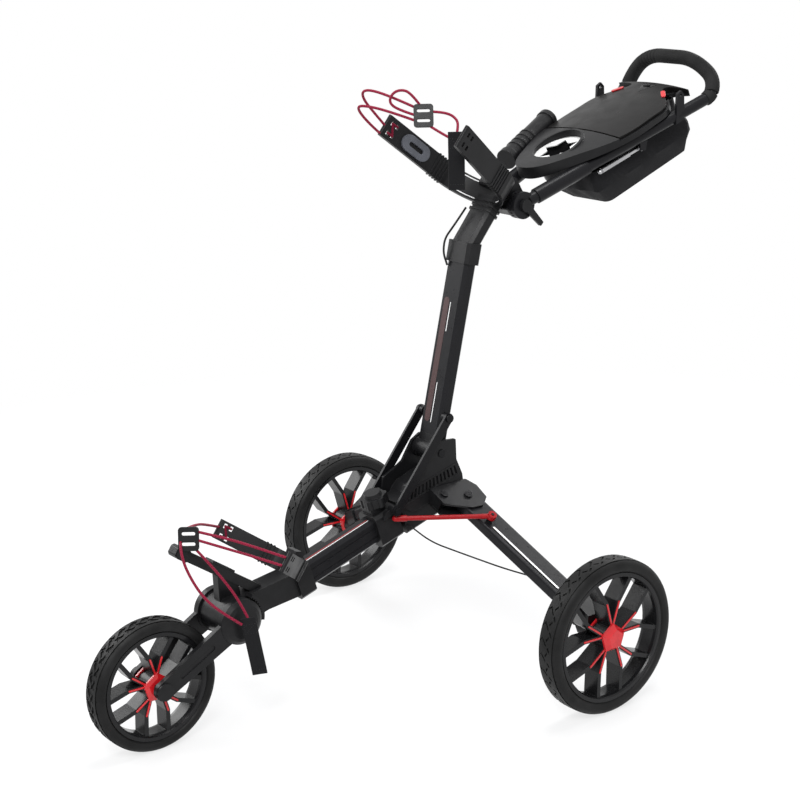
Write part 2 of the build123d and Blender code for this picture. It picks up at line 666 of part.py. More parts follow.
def base_rest_bar():
    (y0, z0), (y1, z1) = from_nose(REST_FOOT), from_nose(REST_TIP)
    run = Vector(y1 - y0, z1 - z0)
    lift = degrees(atan2(run.Y, run.X))
    side_view = Pos((y0 + y1) / 2, (z0 + z1) / 2) * Rot(0, 0, lift) * Rectangle(run.length, REST_T)
    side_view = fillet(side_view.vertices(), 4)
    bar_body = extrude(Plane.YZ.offset(-REST_W / 2) * side_view, REST_W)
    return bar_body - slab([(y0 - 6, z0 - 60), (y0 + 60, z0 - 60), (y0 + 60, z0 + 60), (y0 - 6, z0 + 14)],
                           -REST_W, REST_W)


def base_rest():
    """Bar that the bag stands on, with the lighter plate bolted on its middle."""
    (y0, z0), (y1, z1) = from_nose(REST_FOOT), from_nose(REST_TIP)
    run = Vector(y1 - y0, z1 - z0)
    lift = degrees(atan2(run.Y, run.X))
    mid = (y0 + 0.5 * run.X, z0 + 0.5 * run.Y)
    plate = Pos(*mid) * Rot(0, 0, lift) * Pos(0, -REST_T / 2 - 2) * Rectangle(52, 4)
    body = base_rest_bar()
    tip_cap = Pos(y1, z1) * Rot(0, 0, lift) * Pos(-16, 0) * Rectangle(26, REST_T + 4)
    body += extrude(Plane.YZ.offset(-REST_W / 2 - 2) * fillet(tip_cap.vertices(), 5), REST_W + 4)
    cover = extrude(Plane.YZ.offset(-REST_W / 2 - 1) * plate, REST_W + 2)
    return [body, cover]


def fork_arm():
    """Left arm: bevelled disc on the nose's trunnion, tapered flat bar, and the axle's end cover."""
    y, z = from_nose(FORK_PIVOT)
    wheel_y, wheel_z = -WHEELBASE, FRONT_TYRE_R
    profile = make_face(Polyline((FORK_IN, 0), (FORK_IN, FORK_DISC_R), (FORK_FACE - 9, FORK_DISC_R),
                                 (FORK_FACE - 3, FORK_DISC_R - 7), (FORK_FACE, FORK_DISC_R - 14), (FORK_FACE, 0),
                                 close=True))
    head = Pos(0, y, z) * revolve(profile, Axis.X)
    run = Vector(wheel_y - y, wheel_z - z)
    taper = [(0, ARM_TOP / 2), (run.length, ARM_END / 2), (run.length, -ARM_END / 2), (0, -ARM_TOP / 2)]
    plan = make_face(Polyline(*taper, close=True)) + Pos(run.length, 0) * Circle(ARM_END / 2)
    plan = Pos(y, z) * Rot(0, 0, degrees(atan2(run.Y, run.X))) * plan
    arm = extrude(Plane.YZ.offset(ARM_IN) * plan, ARM_OUT - ARM_IN)
    groove = Pos(y, z) * Rot(0, 0, degrees(atan2(run.Y, run.X))) * Pos(run.length / 2 + 14, 0) * SlotCenterToCenter(70, 12)
    arm -= extrude(Plane.YZ.offset(ARM_OUT - 2) * groove, 4)
    arm += disc(wheel_y, wheel_z, 16, ARM_OUT - 1, ARM_OUT + 4)
    arm += head
    arm -= disc(y, z, TRUNNION_R + PIN_GAP, 0, ARM_OUT + RUN_GAP)
    return arm - disc(wheel_y, wheel_z, AXLE_R, 0, ARM_OUT + 2)


def front_axle_set():
    axle = disc(-WHEELBASE, FRONT_TYRE_R, AXLE_R, -ARM_OUT, ARM_OUT)
    return [axle] + [FRONT_WHEEL_PLACE * ring for ring in axle_bearings()]


# Rear legs

SLOPE = radians(LEG_SLOPE)
LEG_OUT = Vector(cos(SLOPE), 0, -sin(SLOPE))
LEG_UP = Vector(sin(SLOPE), 0, cos(SLOPE))
LEG_PLANE = Plane(origin=LEG_PIVOT, x_dir=LEG_OUT, z_dir=LEG_UP)
SWEEP = radians(LEG_SWEEP)
LEG_BOX = Plane(origin=LEG_PIVOT, x_dir=LEG_OUT * cos(SWEEP) + Vector(0, 1, 0) * sin(SWEEP), z_dir=LEG_UP)
LEG_END = LEG_BOX.from_local_coords(Vector(LEG_LENGTH, 0, 0))
TRACK_HALF = LEG_END.X + AXLE_OUT
BLOCK_FACES = (TRACK_HALF - BLOCK_IN, TRACK_HALF - BLOCK_OUT)
BRACKET_IN = LEG_T / 2 + RUN_GAP
BRACKET_OUT = BRACKET_IN + BRACKET_T


def leg_envelope():
    plan = Pos(LEG_LENGTH / 2, 0) * Rectangle(LEG_LENGTH, LEG_W) + Circle(LEG_W / 2)
    tube = extrude(LEG_BOX.offset(-LEG_T / 2) * plan, LEG_T)
    long_edges = tube.edges().filter_by(GeomType.LINE).filter_by(lambda e: e.length > LEG_LENGTH - 5)
    return fillet(long_edges, 4)


def button_bore():
    """Room for the release button and its stroke, in the axle block and in the leg's end."""
    inner = BLOCK_FACES[0]
    stem = disc(0, REAR_TYRE_R, BUTTON_R + RUN_GAP, 0, inner + 7)
    return stem + disc(0, REAR_TYRE_R, BUTTON_R + 3.5, 0, inner - 6 + BUTTON_TRAVEL + RUN_GAP)


def leg_tube():
    """Left leg: wide flat tube, round at its pivot, with the stud that the red rod turns on."""
    core = Pos(LEG_LENGTH / 2 + 40, 0) * Rectangle(LEG_LENGTH, LEG_W - 2 * LEG_WALL - 3)
    tube = leg_envelope() - extrude(LEG_BOX.offset(-LEG_T / 2 + LEG_WALL) * core, LEG_T - 2 * LEG_WALL)
    tube -= LEG_PLANE * Cylinder(LEG_BOLT_R + PIN_GAP, 2 * LEG_T)
    stud = Plane(origin=ROD_OUT, z_dir=ROD_AXIS)
    post = stud * Pos(0, 0, -18) * Cylinder(6, 2 * (18 - ROD_EYE_HALF - 3.2))
    post += stud * Pos(0, 0, -6) * Cylinder(STUD_R, 12 + 2 * ROD_EYE_HALF + 2)
    inside = extrude(LEG_BOX.offset(LEG_T / 2 - 1) * Pos(LEG_LENGTH / 2, 0) * Rectangle(2 * LEG_LENGTH, 200), -60)
    for at in LEG_RIVETS:
        tube += LEG_BOX * Pos(LEG_LENGTH - at, LEG_W / 2 - 10, LEG_T / 2 + 0.5) * Cylinder(4, 2)
    return tube + (post - inside) - button_bore()


def leg_bracket():
    """Left bracket: a plate over the leg's end and one under it, joined by a web beside the housing."""
    outline = [(-40, -66), (-40, 22), (-18, 34), (16, 34), (33, 14), (31, -12), (5, -62)]
    plan = fillet(make_face(Polyline(*outline, close=True)).vertices(), 5)
    plates = extrude(LEG_PLANE.offset(BRACKET_IN) * plan, BRACKET_T)
    plates += extrude(LEG_PLANE.offset(-BRACKET_OUT) * plan, BRACKET_T)
    web = make_face(Polyline((-40, -66), (-40, -30), (-10, -34), (-4, -62), close=True))
    plates += extrude(LEG_PLANE.offset(-BRACKET_IN) * web, 2 * BRACKET_IN)
    plates &= Pos(CHEEK_OUT + 100, 0, 300) * Box(200, 600, 700)
    for place in ((0, 0), BRACKET_BOLT):
        plates -= LEG_PLANE * Pos(*place, 0) * Cylinder(LEG_BOLT_R, 4 * BRACKET_OUT)
    return plates


def axle_block():
    """Moulded end of the leg: sleeve, web and the boss of the stub axle."""
    inner, outer = BLOCK_FACES
    boss = disc(0, REAR_TYRE_R, 20, inner, outer)
    sleeve = extrude(LEG_BOX.offset(-LEG_T / 2 - 3) * (Pos(LEG_LENGTH - 14, 0) * Rectangle(36, LEG_W + 6)), LEG_T + 6)
    web_plan = make_face(Polyline((LEG_END.X - 24, LEG_END.Z + 8), (LEG_END.X - 12, LEG_END.Z + 28),
                                  (outer, REAR_TYRE_R + 32), (outer, REAR_TYRE_R - 6), (inner - 2, REAR_TYRE_R - 8),
                                  close=True))
    web = extrude(Plane.XZ.offset(-18) * web_plan, 36)
    body = boss + fillet(sleeve.edges().filter_by(GeomType.LINE).sort_by(SortBy.LENGTH)[-4:], 3) + web
    body -= leg_envelope()
    return body - button_bore() - disc(0, REAR_TYRE_R, AXLE_R, inner, outer + 9)


def axle_set():
    axle = disc(0, REAR_TYRE_R, AXLE_R, BLOCK_FACES[0] + 8, TRACK_HALF + SPOKE_DEPTH / 2 + 4)
    return [axle] + [rear_wheel_place(1) * ring for ring in axle_bearings()]


def release_button():
    """Red quick-release button in the inner end of the axle block."""
    inner = BLOCK_FACES[0]
    body = disc(0, REAR_TYRE_R, BUTTON_R, inner - 11, inner + 3)
    return body + disc(0, REAR_TYRE_R, BUTTON_R + 2.5, inner - 11, inner - 6)


def fold_rod():
    """Left red rod from the collar to the leg, with swaged ends."""
    start, end = Vector(*ROD_IN), Vector(*ROD_OUT)
    run = (end - start).normalized()
    rod = bar(ROD_IN, ROD_OUT, ROD_R)
    rod += bar(ROD_IN, tuple(start + run * 22), ROD_EYE_R)
    rod += bar(tuple(end - run * 20), ROD_OUT, ROD_R + 0.4)
    rod += Pos(*ROD_IN) * Sphere(ROD_EYE_R)
    eye = Plane(origin=ROD_OUT, z_dir=ROD_AXIS)
    rod += eye * Cylinder(8.5, 2 * ROD_EYE_HALF)
    return rod - eye * Cylinder(STUD_R + PIN_GAP, 8 * ROD_EYE_HALF)


# Handle and console

def handle_arm(side):
    """Serrated knuckle, sleeve and straight tube of one side, with a drilled lug near its end."""
    y, z = HANDLE_PIVOT
    knuckle = disc(y, z, KNUCKLE_R, KNUCKLE_IN, KNUCKLE_OUT)
    for tooth in range(KNUCKLE_TEETH):
        notch = Pos(y, z) * Rot(0, 0, tooth * 360 / KNUCKLE_TEETH) * Pos(KNUCKLE_R, 0) * Rectangle(3, 3)
        knuckle -= extrude(Plane.YZ.offset(KNUCKLE_IN + 6) * notch, 6)
    start, end = Vector(*ARM_ROOT), Vector(*ARM_TIP)
    run = (end - start).normalized()
    root = tuple(start + run * ARM_CLEAR)
    sleeve = [tuple(start + run * at) for at in ARM_SLEEVE]
    arm = bar(*sleeve, ARM_SLEEVE_R) + bar(root, ARM_TIP, ARM_R)
    arm -= bar(tuple(start + run * (KNUCKLE_R + 6)), tuple(end + run), ARM_R - ARM_WALL)
    arm += knuckle
    lug = make_face(Polyline((455, 995), (478, 1004), (476, 1052), (468, 1060), (458, 1054), close=True))
    arm += extrude(Plane.YZ.offset(109) * lug, 6) - disc(467, 1050, 3.5, 100, 120)
    arm -= bar(tuple(end - run * 60), tuple(end + run), LOOP_R)
    if side > 0:
        x, py, pz = LEVER_PIVOT
        for ear in (-10.5, 6.5):
            arm += slab([(py - 12, pz + 20), (py + 12, pz + 26), (py + 6, pz - 5), (py - 6, pz - 5)], x + ear, x + ear + 4)
        arm += disc(py, pz, LEVER_PIN_R, x - 10.5, x + 10.5)
    arm -= disc(y, z, HANDLE_TRUNNION_R + PIN_GAP, 0, KNUCKLE_OUT - 5)
    return arm if side > 0 else mirror(arm, about=Plane.YZ)


def loop_path():
    start, end = Vector(*ARM_ROOT), Vector(*ARM_TIP)
    run = (end - start).normalized()
    points = [tuple(end - run * 58), tuple(end + run * 12), LOOP_SIDE, LOOP_TOP]
    other = [(-x, y, z) for x, y, z in reversed(points)]
    return FilletPolyline(*points, *other, radius=LOOP_BENDS + LOOP_BENDS[::-1])


def swept_rod(path, radius):
    return sweep(Plane(origin=path @ 0, z_dir=path % 0) * Circle(radius), path)


def handle_loop():
    path = loop_path()
    return swept_rod(path, LOOP_R) - swept_rod(path, LOOP_R - 2)


def grip():
    """Foam sleeve on the loop, between the ends of the arms."""
    path = loop_path()
    start, end = Vector(*ARM_ROOT), Vector(*ARM_TIP)
    sleeve = swept_rod(path, GRIP_R) - swept_rod(path, LOOP_R)
    for solid in both_sides(extrude(Plane(origin=end + (end - start).normalized() * 0.5, z_dir=start - end)
                                    * Rectangle(80, 80), 90)):
        sleeve -= solid
    return sleeve


DECK = deck_plane(CONSOLE_AT, CONSOLE_TILT)


def console_outline(inset=0.0):
    right = [(0, CONSOLE_ENDS[0] + inset)]
    right += [(x - inset, s) for x, s in CONSOLE_HALF]
    right += [(0, CONSOLE_ENDS[1] - inset)]
    left = [(-x, s) for x, s in right]
    return make_face([Spline(*right, tangents=[(1, 0), (-1, 0)]), Spline(*left, tangents=[(-1, 0), (1, 0)])])


def crown(lift=0.0):
    """Shallow barrel along the console whose top stands CONSOLE_CROWN over its rim."""
    barrel = Pos(0, 180, CONSOLE_CROWN + lift - CROWN_R) * Rot(90, 0, 0) * Cylinder(CROWN_R, 600)
    return DECK * barrel


def tub_plan(grow):
    front, rear, half_front, half_rear, _ = TUB
    plan = make_face(Polyline((-half_front - grow, front - grow), (half_front + grow, front - grow),
                              (half_rear + grow, rear + grow), (-half_rear - grow, rear + grow), close=True))
    return fillet(plan.vertices(), 10 + grow)


def console_tray():
    """Console: rim, crowned deck round the cup, and the tub under the lid."""
    outline = console_outline()
    body = extrude(DECK.offset(-CONSOLE_T) * outline, CONSOLE_T)
    front = outline & Pos(0, LID_FRONT - 200 - 4) * Rectangle(400, 400)
    body += extrude(DECK * front, 40) & crown()
    depth = TUB[4]
    body += extrude(DECK.offset(-depth - TUB_WALL) * tub_plan(TUB_WALL - 0.01), depth)
    body -= extrude(DECK.offset(-depth) * tub_plan(0), depth + 40)
    body += cup_hood()
    hole = Pos(0, CUP_AT) * Ellipse(CUP[0] + CUP_WALL, CUP[1] + CUP_WALL)
    body -= extrude(DECK.offset(-60) * hole, 120)
    return body + cup_well()


def cup_hood():
    """Rim round the cup that rises out of the deck towards the rear."""
    rim_plan = Pos(0, CUP_AT) * Ellipse(CUP[0] + CUP_WALL + HOOD_W, CUP[1] + CUP_WALL + HOOD_W)
    ring = extrude(DECK * rim_plan, HOOD_H + 8, taper=12)
    front, rear = CUP_AT - CUP[1], CUP_AT + CUP[1]
    side = make_face(Polyline((front - 40, 0), (rear + 40, 0), (rear + 40, HOOD_H), (rear, HOOD_H), (front, 9),
                              (front - 40, 2), close=True))
    cut = Plane(origin=DECK.origin, x_dir=DECK.y_dir, z_dir=(1, 0, 0))
    return ring & extrude(cut.offset(-150) * side, 300)


def cup_liner():
    """Pale flexible sheet in the mouth of the cup, with a star-shaped opening."""
    points = []
    for index in range(2 * STAR_POINTS):
        share = STAR[index % 2]
        turn = pi * index / STAR_POINTS
        points.append((share * CUP[0] * cos(turn), share * CUP[1] * sin(turn)))
    mouth = Ellipse(CUP[0] + CUP_WALL, CUP[1] + CUP_WALL) - make_face(Polyline(*points, close=True))
    return extrude(DECK.offset(CUP_SHEET) * Pos(0, CUP_AT) * mouth, 2.0)


def cup_well():
    """Oval cup under the deck: tapered wall and an open floor with crossing bars."""
    top, wall = CUP_SHEET, CUP_WALL
    outer = loft([DECK.offset(top) * Pos(0, CUP_AT) * Ellipse(CUP[0] + wall, CUP[1] + wall),
                  DECK.offset(top - CUP_DEPTH) * Pos(0, CUP_AT) * Ellipse(CUP[0] - 6, CUP[1] - 6)])
    inner = loft([DECK.offset(top + 0.1) * Pos(0, CUP_AT) * Ellipse(CUP[0], CUP[1]),
                  DECK.offset(top - CUP_DEPTH - 0.1) * Pos(0, CUP_AT) * Ellipse(CUP[0] - 6 - wall, CUP[1] - 6 - wall)])
    floor = Pos(0, CUP_AT) * (Rectangle(70, 9) + Rectangle(9, 84) + Circle(15))
    return (outer - inner) + (extrude(DECK.offset(top - CUP_DEPTH) * floor, 3) & outer)


def lid_plan():
    return console_outline(LID_INSET) & Pos(0, LID_FRONT + 200) * Rectangle(400, 400)


def console_lid():
    """Crowned lid, hollow below, hinged along its front edge, with a latch notch at the rear."""
    shell = extrude(DECK.offset(LID_GAP) * lid_plan(), 40) & crown()
    shell -= extrude(DECK * tub_plan(-1), LID_HOLLOW)
    notch = make_face(Polyline((-14, 352), (14, 352), (0, 330), close=True))
    return shell - extrude(DECK.offset(CONSOLE_CROWN - 1.6) * notch, 20)


def lid_tabs():
    """Red corner tabs and latch tongue of the lid."""
    tabs = []
    for side in (-1, 1):
        tab = Pos(side * 64, 322) * Rot(0, 0, -side * 44) * SlotOverall(26, 9)
        body = extrude(DECK.offset(CONSOLE_CROWN - 6) * tab, 20) & crown(2.2)
        tabs.append(body - crown())
    return tabs


def umbrella_plane():
    run = Vector(*UMBRELLA_TOP) - Vector(*UMBRELLA_FOOT)
    return Plane(origin=UMBRELLA_FOOT, z_dir=run), run.length


def umbrella_holder():
    """Upright socket beside the console, ringed at both ends, on a foot from the far arm."""
    plane, length = umbrella_plane()
    body = extrude(plane * Circle(UMBRELLA_R - 2), length)
    for at, wide in ((0, 14), (length - 12, 12)):
        body += extrude(plane.offset(at) * Circle(UMBRELLA_R), wide)
    for rib in range(4):
        body += extrude(plane.offset(34 + rib * 16) * Circle(UMBRELLA_R - 0.6), 5)
    span = make_face(Polyline((-74, -30), (-74, -14), (-98, 2), (-118, -4), (-112, -20), close=True))
    foot = Plane(origin=DECK.from_local_coords((0, 112, 0)), x_dir=(1, 0, 0),
                 z_dir=-DECK.y_dir)
    body += extrude(foot * span, 16)
    body -= extrude(plane.offset(10) * Circle(UMBRELLA_BORE), length)
    arm_start = (-ARM_ROOT[0], ARM_ROOT[1], ARM_ROOT[2])
    arm_end = (-ARM_TIP[0], ARM_TIP[1], ARM_TIP[2])
    return body - bar(arm_start, arm_end, ARM_R) - console_tray()


def pouch():
    """Hanging fabric pouch under the tub, faceted, with its mouth towards the rear."""
    def level(half, front, rear, h, inset=0.0):
        wide, long = 2 * (half - inset), rear - front - 2 * inset
        return DECK.offset(h) * Pos(0, (front + rear) / 2) * RectangleRounded(wide, long, 14)

    top = -TUB[4] - TUB_WALL - 1.0
    outer = loft([level(68, 94, 370, top), level(72, 92, 372, -88), level(58, 122, 356, -126)], ruled=True)
    t = POUCH_WALL
    inner = loft([level(68, 94, 370, top + 0.1, t), level(72, 92, 372, -88, t), level(58, 122, 356, -126 + t, t)],
                 ruled=True)
    shell = outer - inner
    mouth = make_face(Polyline((300, top + 1), (420, top + 1), (420, -82), (350, -82), close=True))
    cut = Plane(origin=DECK.origin, x_dir=DECK.y_dir, z_dir=(1, 0, 0))
    return shell - extrude(cut.offset(-100) * mouth, 200)


def brake_lever():
    """Slim lever under the near arm, on a pin between two ears."""
    start, end = Vector(*LEVER_PIVOT), Vector(*LEVER_END)
    run = (end - start).normalized()
    lever = bar(LEVER_PIVOT, LEVER_END, 3.6) + Pos(*LEVER_END) * Sphere(5)
    lever += disc(LEVER_PIVOT[1], LEVER_PIVOT[2], 6.5, LEVER_PIVOT[0] - 6, LEVER_PIVOT[0] + 6)
    lever += bar(tuple(start + run * 30), tuple(end - run * 4), 5)
    return lever - disc(LEVER_PIVOT[1], LEVER_PIVOT[2], LEVER_PIN_R + PIN_GAP, 0, 2 * LEVER_PIVOT[0])


def cam_lever():
    """Small clamp lever on the near knuckle."""
    y, z = HANDLE_PIVOT
    x0 = KNUCKLE_OUT + RUN_GAP
    lever = disc(y, z, 12, x0, x0 + 8)
    lever += slab([(y - 5, z - 6), (y + 6, z + 5), (y + 42, z - 36), (y + 35, z - 43)], x0 + 1, x0 + 7, 2)
    return lever


# Bungees, clips and cables

def half_turn_radius(before, at, after):
    a, b = Vector(*at) - Vector(*before), Vector(*after) - Vector(*at)
    turn = a.get_angle(b)
    return 0.45 * min(a.length, b.length) / tan(radians(max(turn, 2.0)) / 2)


def cord(points, radius):
    """Round cord along straight runs joined by tangent arcs."""
    radii = [half_turn_radius(*points[i - 1:i + 2]) for i in range(1, len(points) - 1)]
    path = FilletPolyline(*points, radius=radii)
    return swept_rod(path, radius)


def clip(at, seats):
    """Plastic cord clip: a flat frame with two windows, socketed for the cords and the bar it meets."""
    plane = Plane(origin=at, x_dir=CLIP_RIGHT, z_dir=CLIP_RIGHT.cross(CLIP_UP))
    plan = RectangleRounded(CLIP[0], CLIP[1], 6)
    for row in (-9, 9):
        plan -= Pos(0, row) * SlotOverall(CLIP[0] - 12, 6)
    return extrude(plane * plan, CLIP[2] / 2, both=True) - seats


def pull_tab(top, foot, width, cords):
    """Flat webbing pull, holed where its cords are sewn in."""
    run = Vector(*foot) - Vector(*top)
    plane = Plane(origin=top, x_dir=run, z_dir=(0.8, -0.6, 0))
    plan = Pos(run.length / 2, 0) * RectangleRounded(run.length, width, 6)
    return extrude(plane * plan, TAB_T / 2, both=True) - cords


def leg_cable():
    return cord(LEG_CABLE, 1.5)


def mirrored(pieces):
    return [mirror(piece, about=Plane.YZ) for piece in pieces]


def build():
    nodes = {}
    up_far = [cord(route, CORD_R) for route in (UPPER_FAR_A, UPPER_FAR_B, UPPER_LOOP)]
    up_near = [cord(route, CORD_R) for route in (UPPER_NEAR_A, UPPER_NEAR_B)]
    low_near = [cord(route, CORD_R) for route in (LOWER_NEAR_A, LOWER_NEAR_B)]
    low_far = [cord(LOWER_FAR, CORD_R)]
    low_loop = [cord(route, CORD_R) for route in (LOWER_LOOP_A, LOWER_LOOP_B)]
    nodes["lower_tube"] = [lower_tube()]
    nodes["hinge_housing"] = [hinge_housing()]
    nodes["pivot_bolts"] = pivot_bolts()
    nodes["leg_brackets"] = both_sides(leg_bracket())
    nodes["nose_housing"] = [nose_housing()]
    nodes["lower_cradle"] = [lower_cradle(low_near + low_far)]
    rest = base_rest()
    nodes["base_rest"] = rest
    nodes["fold_collar"] = [fold_collar()]
    nodes["lock_knob"] = [lock_knob()]
    nodes["mast_tube"] = [mast_tube()]
    nodes["mast_foot"] = [mast_foot()]
    nodes["link_bolts"] = link_bolts()
    nodes["neck"] = [neck()]
    nodes["yoke"] = [yoke() - neck()]
    nodes["upper_cradle"] = [upper_cradle(up_far + up_near)]
    nodes["upper_pads"] = upper_pads()
    nodes["neck_cable"] = [cord(NECK_CABLE, CABLE_R)]
    nodes["fold_links"] = fold_links()
    left = {"leg": [leg_tube()], "axle_block": [axle_block()], "axle_set": axle_set(),
            "release_button": [release_button()], "fold_rod": [fold_rod()]}
    for name, pieces in left.items():
        nodes[name + "_left"] = pieces
        nodes[name + "_right"] = mirrored(pieces)
    nodes["brake_cable_left"] = [leg_cable()]
    for name, place, radius, seat, outer in (
            ("left", rear_wheel_place(1), REAR_TYRE_R, REAR_SEAT_R, 1),
            ("right", rear_wheel_place(-1), REAR_TYRE_R, REAR_SEAT_R, -1),
            ("front", FRONT_WHEEL_PLACE, FRONT_TYRE_R, FRONT_SEAT_R, 0)):
        nodes["tyre_" + name] = [place * tyre(radius, seat)]
        nodes["rim_" + name] = [place * rim(seat)]
        nodes["hub_" + name] = [place * cap for cap in hub(seat, outer)]
    nodes["fork_arms"] = both_sides(fork_arm())
    nodes["front_axle_set"] = front_axle_set()
    nodes["handle_arms"] = [handle_arm(1), handle_arm(-1)]
    nodes["handle_loop"] = [handle_loop()]
    nodes["grip"] = [grip()]
    nodes["console_tray"] = [console_tray()]
    nodes["cup_liner"] = [cup_liner()]
    nodes["umbrella_holder"] = [umbrella_holder()]
    nodes["pouch"] = [pouch()]
    nodes["console_lid"] = [console_lid()]
    nodes["lid_tabs"] = lid_tabs()
    nodes["brake_lever"] = [brake_lever()]
    nodes["cam_lever"] = [cam_lever()]
    nodes["upper_cord_far"] = up_far
    nodes["upper_cord_near"] = up_near
    nodes["upper_clip"] = [clip(UPPER_CLIP, up_far + up_near)]
    nodes["upper_pull_tab"] = [pull_tab(*UPPER_TAB, up_near)]
    nodes["lower_cord_near"] = low_near
    nodes["lower_cord_far"] = low_far
    nodes["lower_cord_loop"] = low_loop
    nodes["lower_clip"] = [clip(LOWER_CLIP, low_near + low_far + low_loop + rest)]
    nodes["lower_pull_tab"] = [pull_tab(*LOWER_TAB, low_loop)]
    return nodes


def export(nodes):
    place = Pos(0, AXLE_Y, 0)
    for name, pieces in nodes.items():
        solids = []
        for piece in pieces:
            solids += list((place * piece).solids())
        shape = solids[0] if len(solids) == 1 else Compound(children=solids)
        export_step(shape, f"parts/{name}.step")
        print(name, len(solids), round(sum(s.volume for s in solids) / 1000, 1))


export(build())
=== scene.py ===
"""Dresses the folding push cart: finishes, tyres, bungees, webbing pulls, foam grip, pouch and trim.

Lengths are metres. Places are written from the rear axle, as in the cart's source, and moved by AXLE_Y.
"""
import json
from collections import namedtuple
from math import atan2, cos, pi, radians, sin, tan

import bmesh
import bpy
from bpy.props import FloatProperty, FloatVectorProperty, IntProperty, PointerProperty
from mathutils import Matrix, Vector


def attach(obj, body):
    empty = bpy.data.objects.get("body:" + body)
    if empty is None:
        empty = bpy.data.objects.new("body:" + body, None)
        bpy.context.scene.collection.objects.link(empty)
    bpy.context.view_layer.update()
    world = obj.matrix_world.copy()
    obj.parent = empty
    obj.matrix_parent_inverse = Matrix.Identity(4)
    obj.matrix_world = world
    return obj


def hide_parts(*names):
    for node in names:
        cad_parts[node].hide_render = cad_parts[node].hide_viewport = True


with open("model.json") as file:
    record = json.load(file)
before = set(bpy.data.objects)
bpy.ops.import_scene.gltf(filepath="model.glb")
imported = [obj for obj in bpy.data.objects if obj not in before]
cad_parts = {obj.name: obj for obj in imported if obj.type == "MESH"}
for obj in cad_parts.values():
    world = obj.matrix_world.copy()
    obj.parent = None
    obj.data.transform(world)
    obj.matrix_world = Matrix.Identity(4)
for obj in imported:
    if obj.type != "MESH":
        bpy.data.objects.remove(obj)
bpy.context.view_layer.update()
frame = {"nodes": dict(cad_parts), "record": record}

bl_info = {
    "name": "Push cart dressing",
    "version": (1, 0, 0),
    "blender": (4, 5, 0),
    "location": "View3D > Sidebar > Cart",
    "description": "Finishes and soft pieces of a three-wheel folding push cart",
    "category": "Object",
}

# Place of the rear axle in the frame, whose origin is at the cart's middle
AXLE_Y = 0.12725
NODES = frame["nodes"]
SLOT_OF = {row["node"]: row["material_slot"] for row in frame["record"]["subparts"]}

# View that the cart is seen from
VIEW_AZIMUTH = radians(52.863)
VIEW_ELEVATION = radians(16.107)
VIEW_ROLL = radians(-1.365)
VIEW_FROM = (2.5709, -1.9676, 1.4608)
VIEW_LENS = 80.67
SENSOR = 36.0

# Bungee routes and the clips that they end in
CLIP_RIGHT = Vector((0.604, 0.797, 0))
CLIP_UP = Vector((-0.221, 0.167, 0.961))
UPPER_CLIP = Vector((0, -0.079, 1.053))
LOWER_CLIP = Vector((0.016, -0.627, 0.375))


def on_clip(at, right, up):
    """A place on a clip, from its middle."""
    return tuple(at + CLIP_RIGHT * right + CLIP_UP * up)


UPPER_FAR_A = [(-0.111, -0.079, 1.021), (-0.113, -0.107, 1.052), (-0.108, -0.134, 1.079),
               (-0.099, -0.143, 1.096), (-0.080, -0.134, 1.098), (-0.042, -0.111, 1.084),
               on_clip(UPPER_CLIP, -0.012, 0.014)]
UPPER_FAR_B = [(-0.1115, -0.090, 1.008), (-0.110, -0.125, 1.036), (-0.103, -0.156, 1.069),
               (-0.080, -0.144, 1.070), (-0.045, -0.117, 1.059), on_clip(UPPER_CLIP, -0.014, -0.009)]
UPPER_LOOP = [on_clip(UPPER_CLIP, -0.005, 0.018), (-0.014, -0.097, 1.096), (-0.025, -0.112, 1.101),
              (-0.034, -0.124, 1.094), (-0.038, -0.128, 1.078), (-0.030, -0.115, 1.065),
              on_clip(UPPER_CLIP, -0.014, 0.001)]
UPPER_NEAR_A = [on_clip(UPPER_CLIP, 0.014, 0.007), (0.028, -0.049, 1.059), (0.048, -0.040, 1.048),
                (0.060, -0.047, 1.034), (0.065, -0.056, 1.020)]
UPPER_NEAR_B = [on_clip(UPPER_CLIP, 0.008, -0.017), (0.034, -0.056, 1.017), (0.074, -0.042, 1.003),
                (0.108, -0.066, 1.005)]
LOWER_NEAR_A = [on_clip(LOWER_CLIP, 0.012, 0.013), (0.050, -0.573, 0.373), (0.082, -0.527, 0.352),
                (0.111, -0.485, 0.331)]
LOWER_NEAR_B = [on_clip(LOWER_CLIP, 0.014, -0.002), (0.052, -0.577, 0.356), (0.082, -0.534, 0.337),
                (0.111, -0.4947, 0.3186)]
LOWER_FAR = [on_clip(LOWER_CLIP, -0.008, 0.016), (-0.032, -0.584, 0.379), (-0.074, -0.534, 0.354),
             (-0.111, -0.4876, 0.328)]
LOWER_LOOP_A = [on_clip(LOWER_CLIP, -0.014, -0.003), (0.025, -0.650, 0.363), (0.033, -0.646, 0.328),
                (0.050, -0.628, 0.280), (0.064, -0.600, 0.246), (0.074, -0.564, 0.216)]
LOWER_LOOP_B = [on_clip(LOWER_CLIP, 0.009, -0.015), (0.036, -0.606, 0.336), (0.052, -0.577, 0.290),
                (0.066, -0.558, 0.250), (0.077, -0.548, 0.216)]
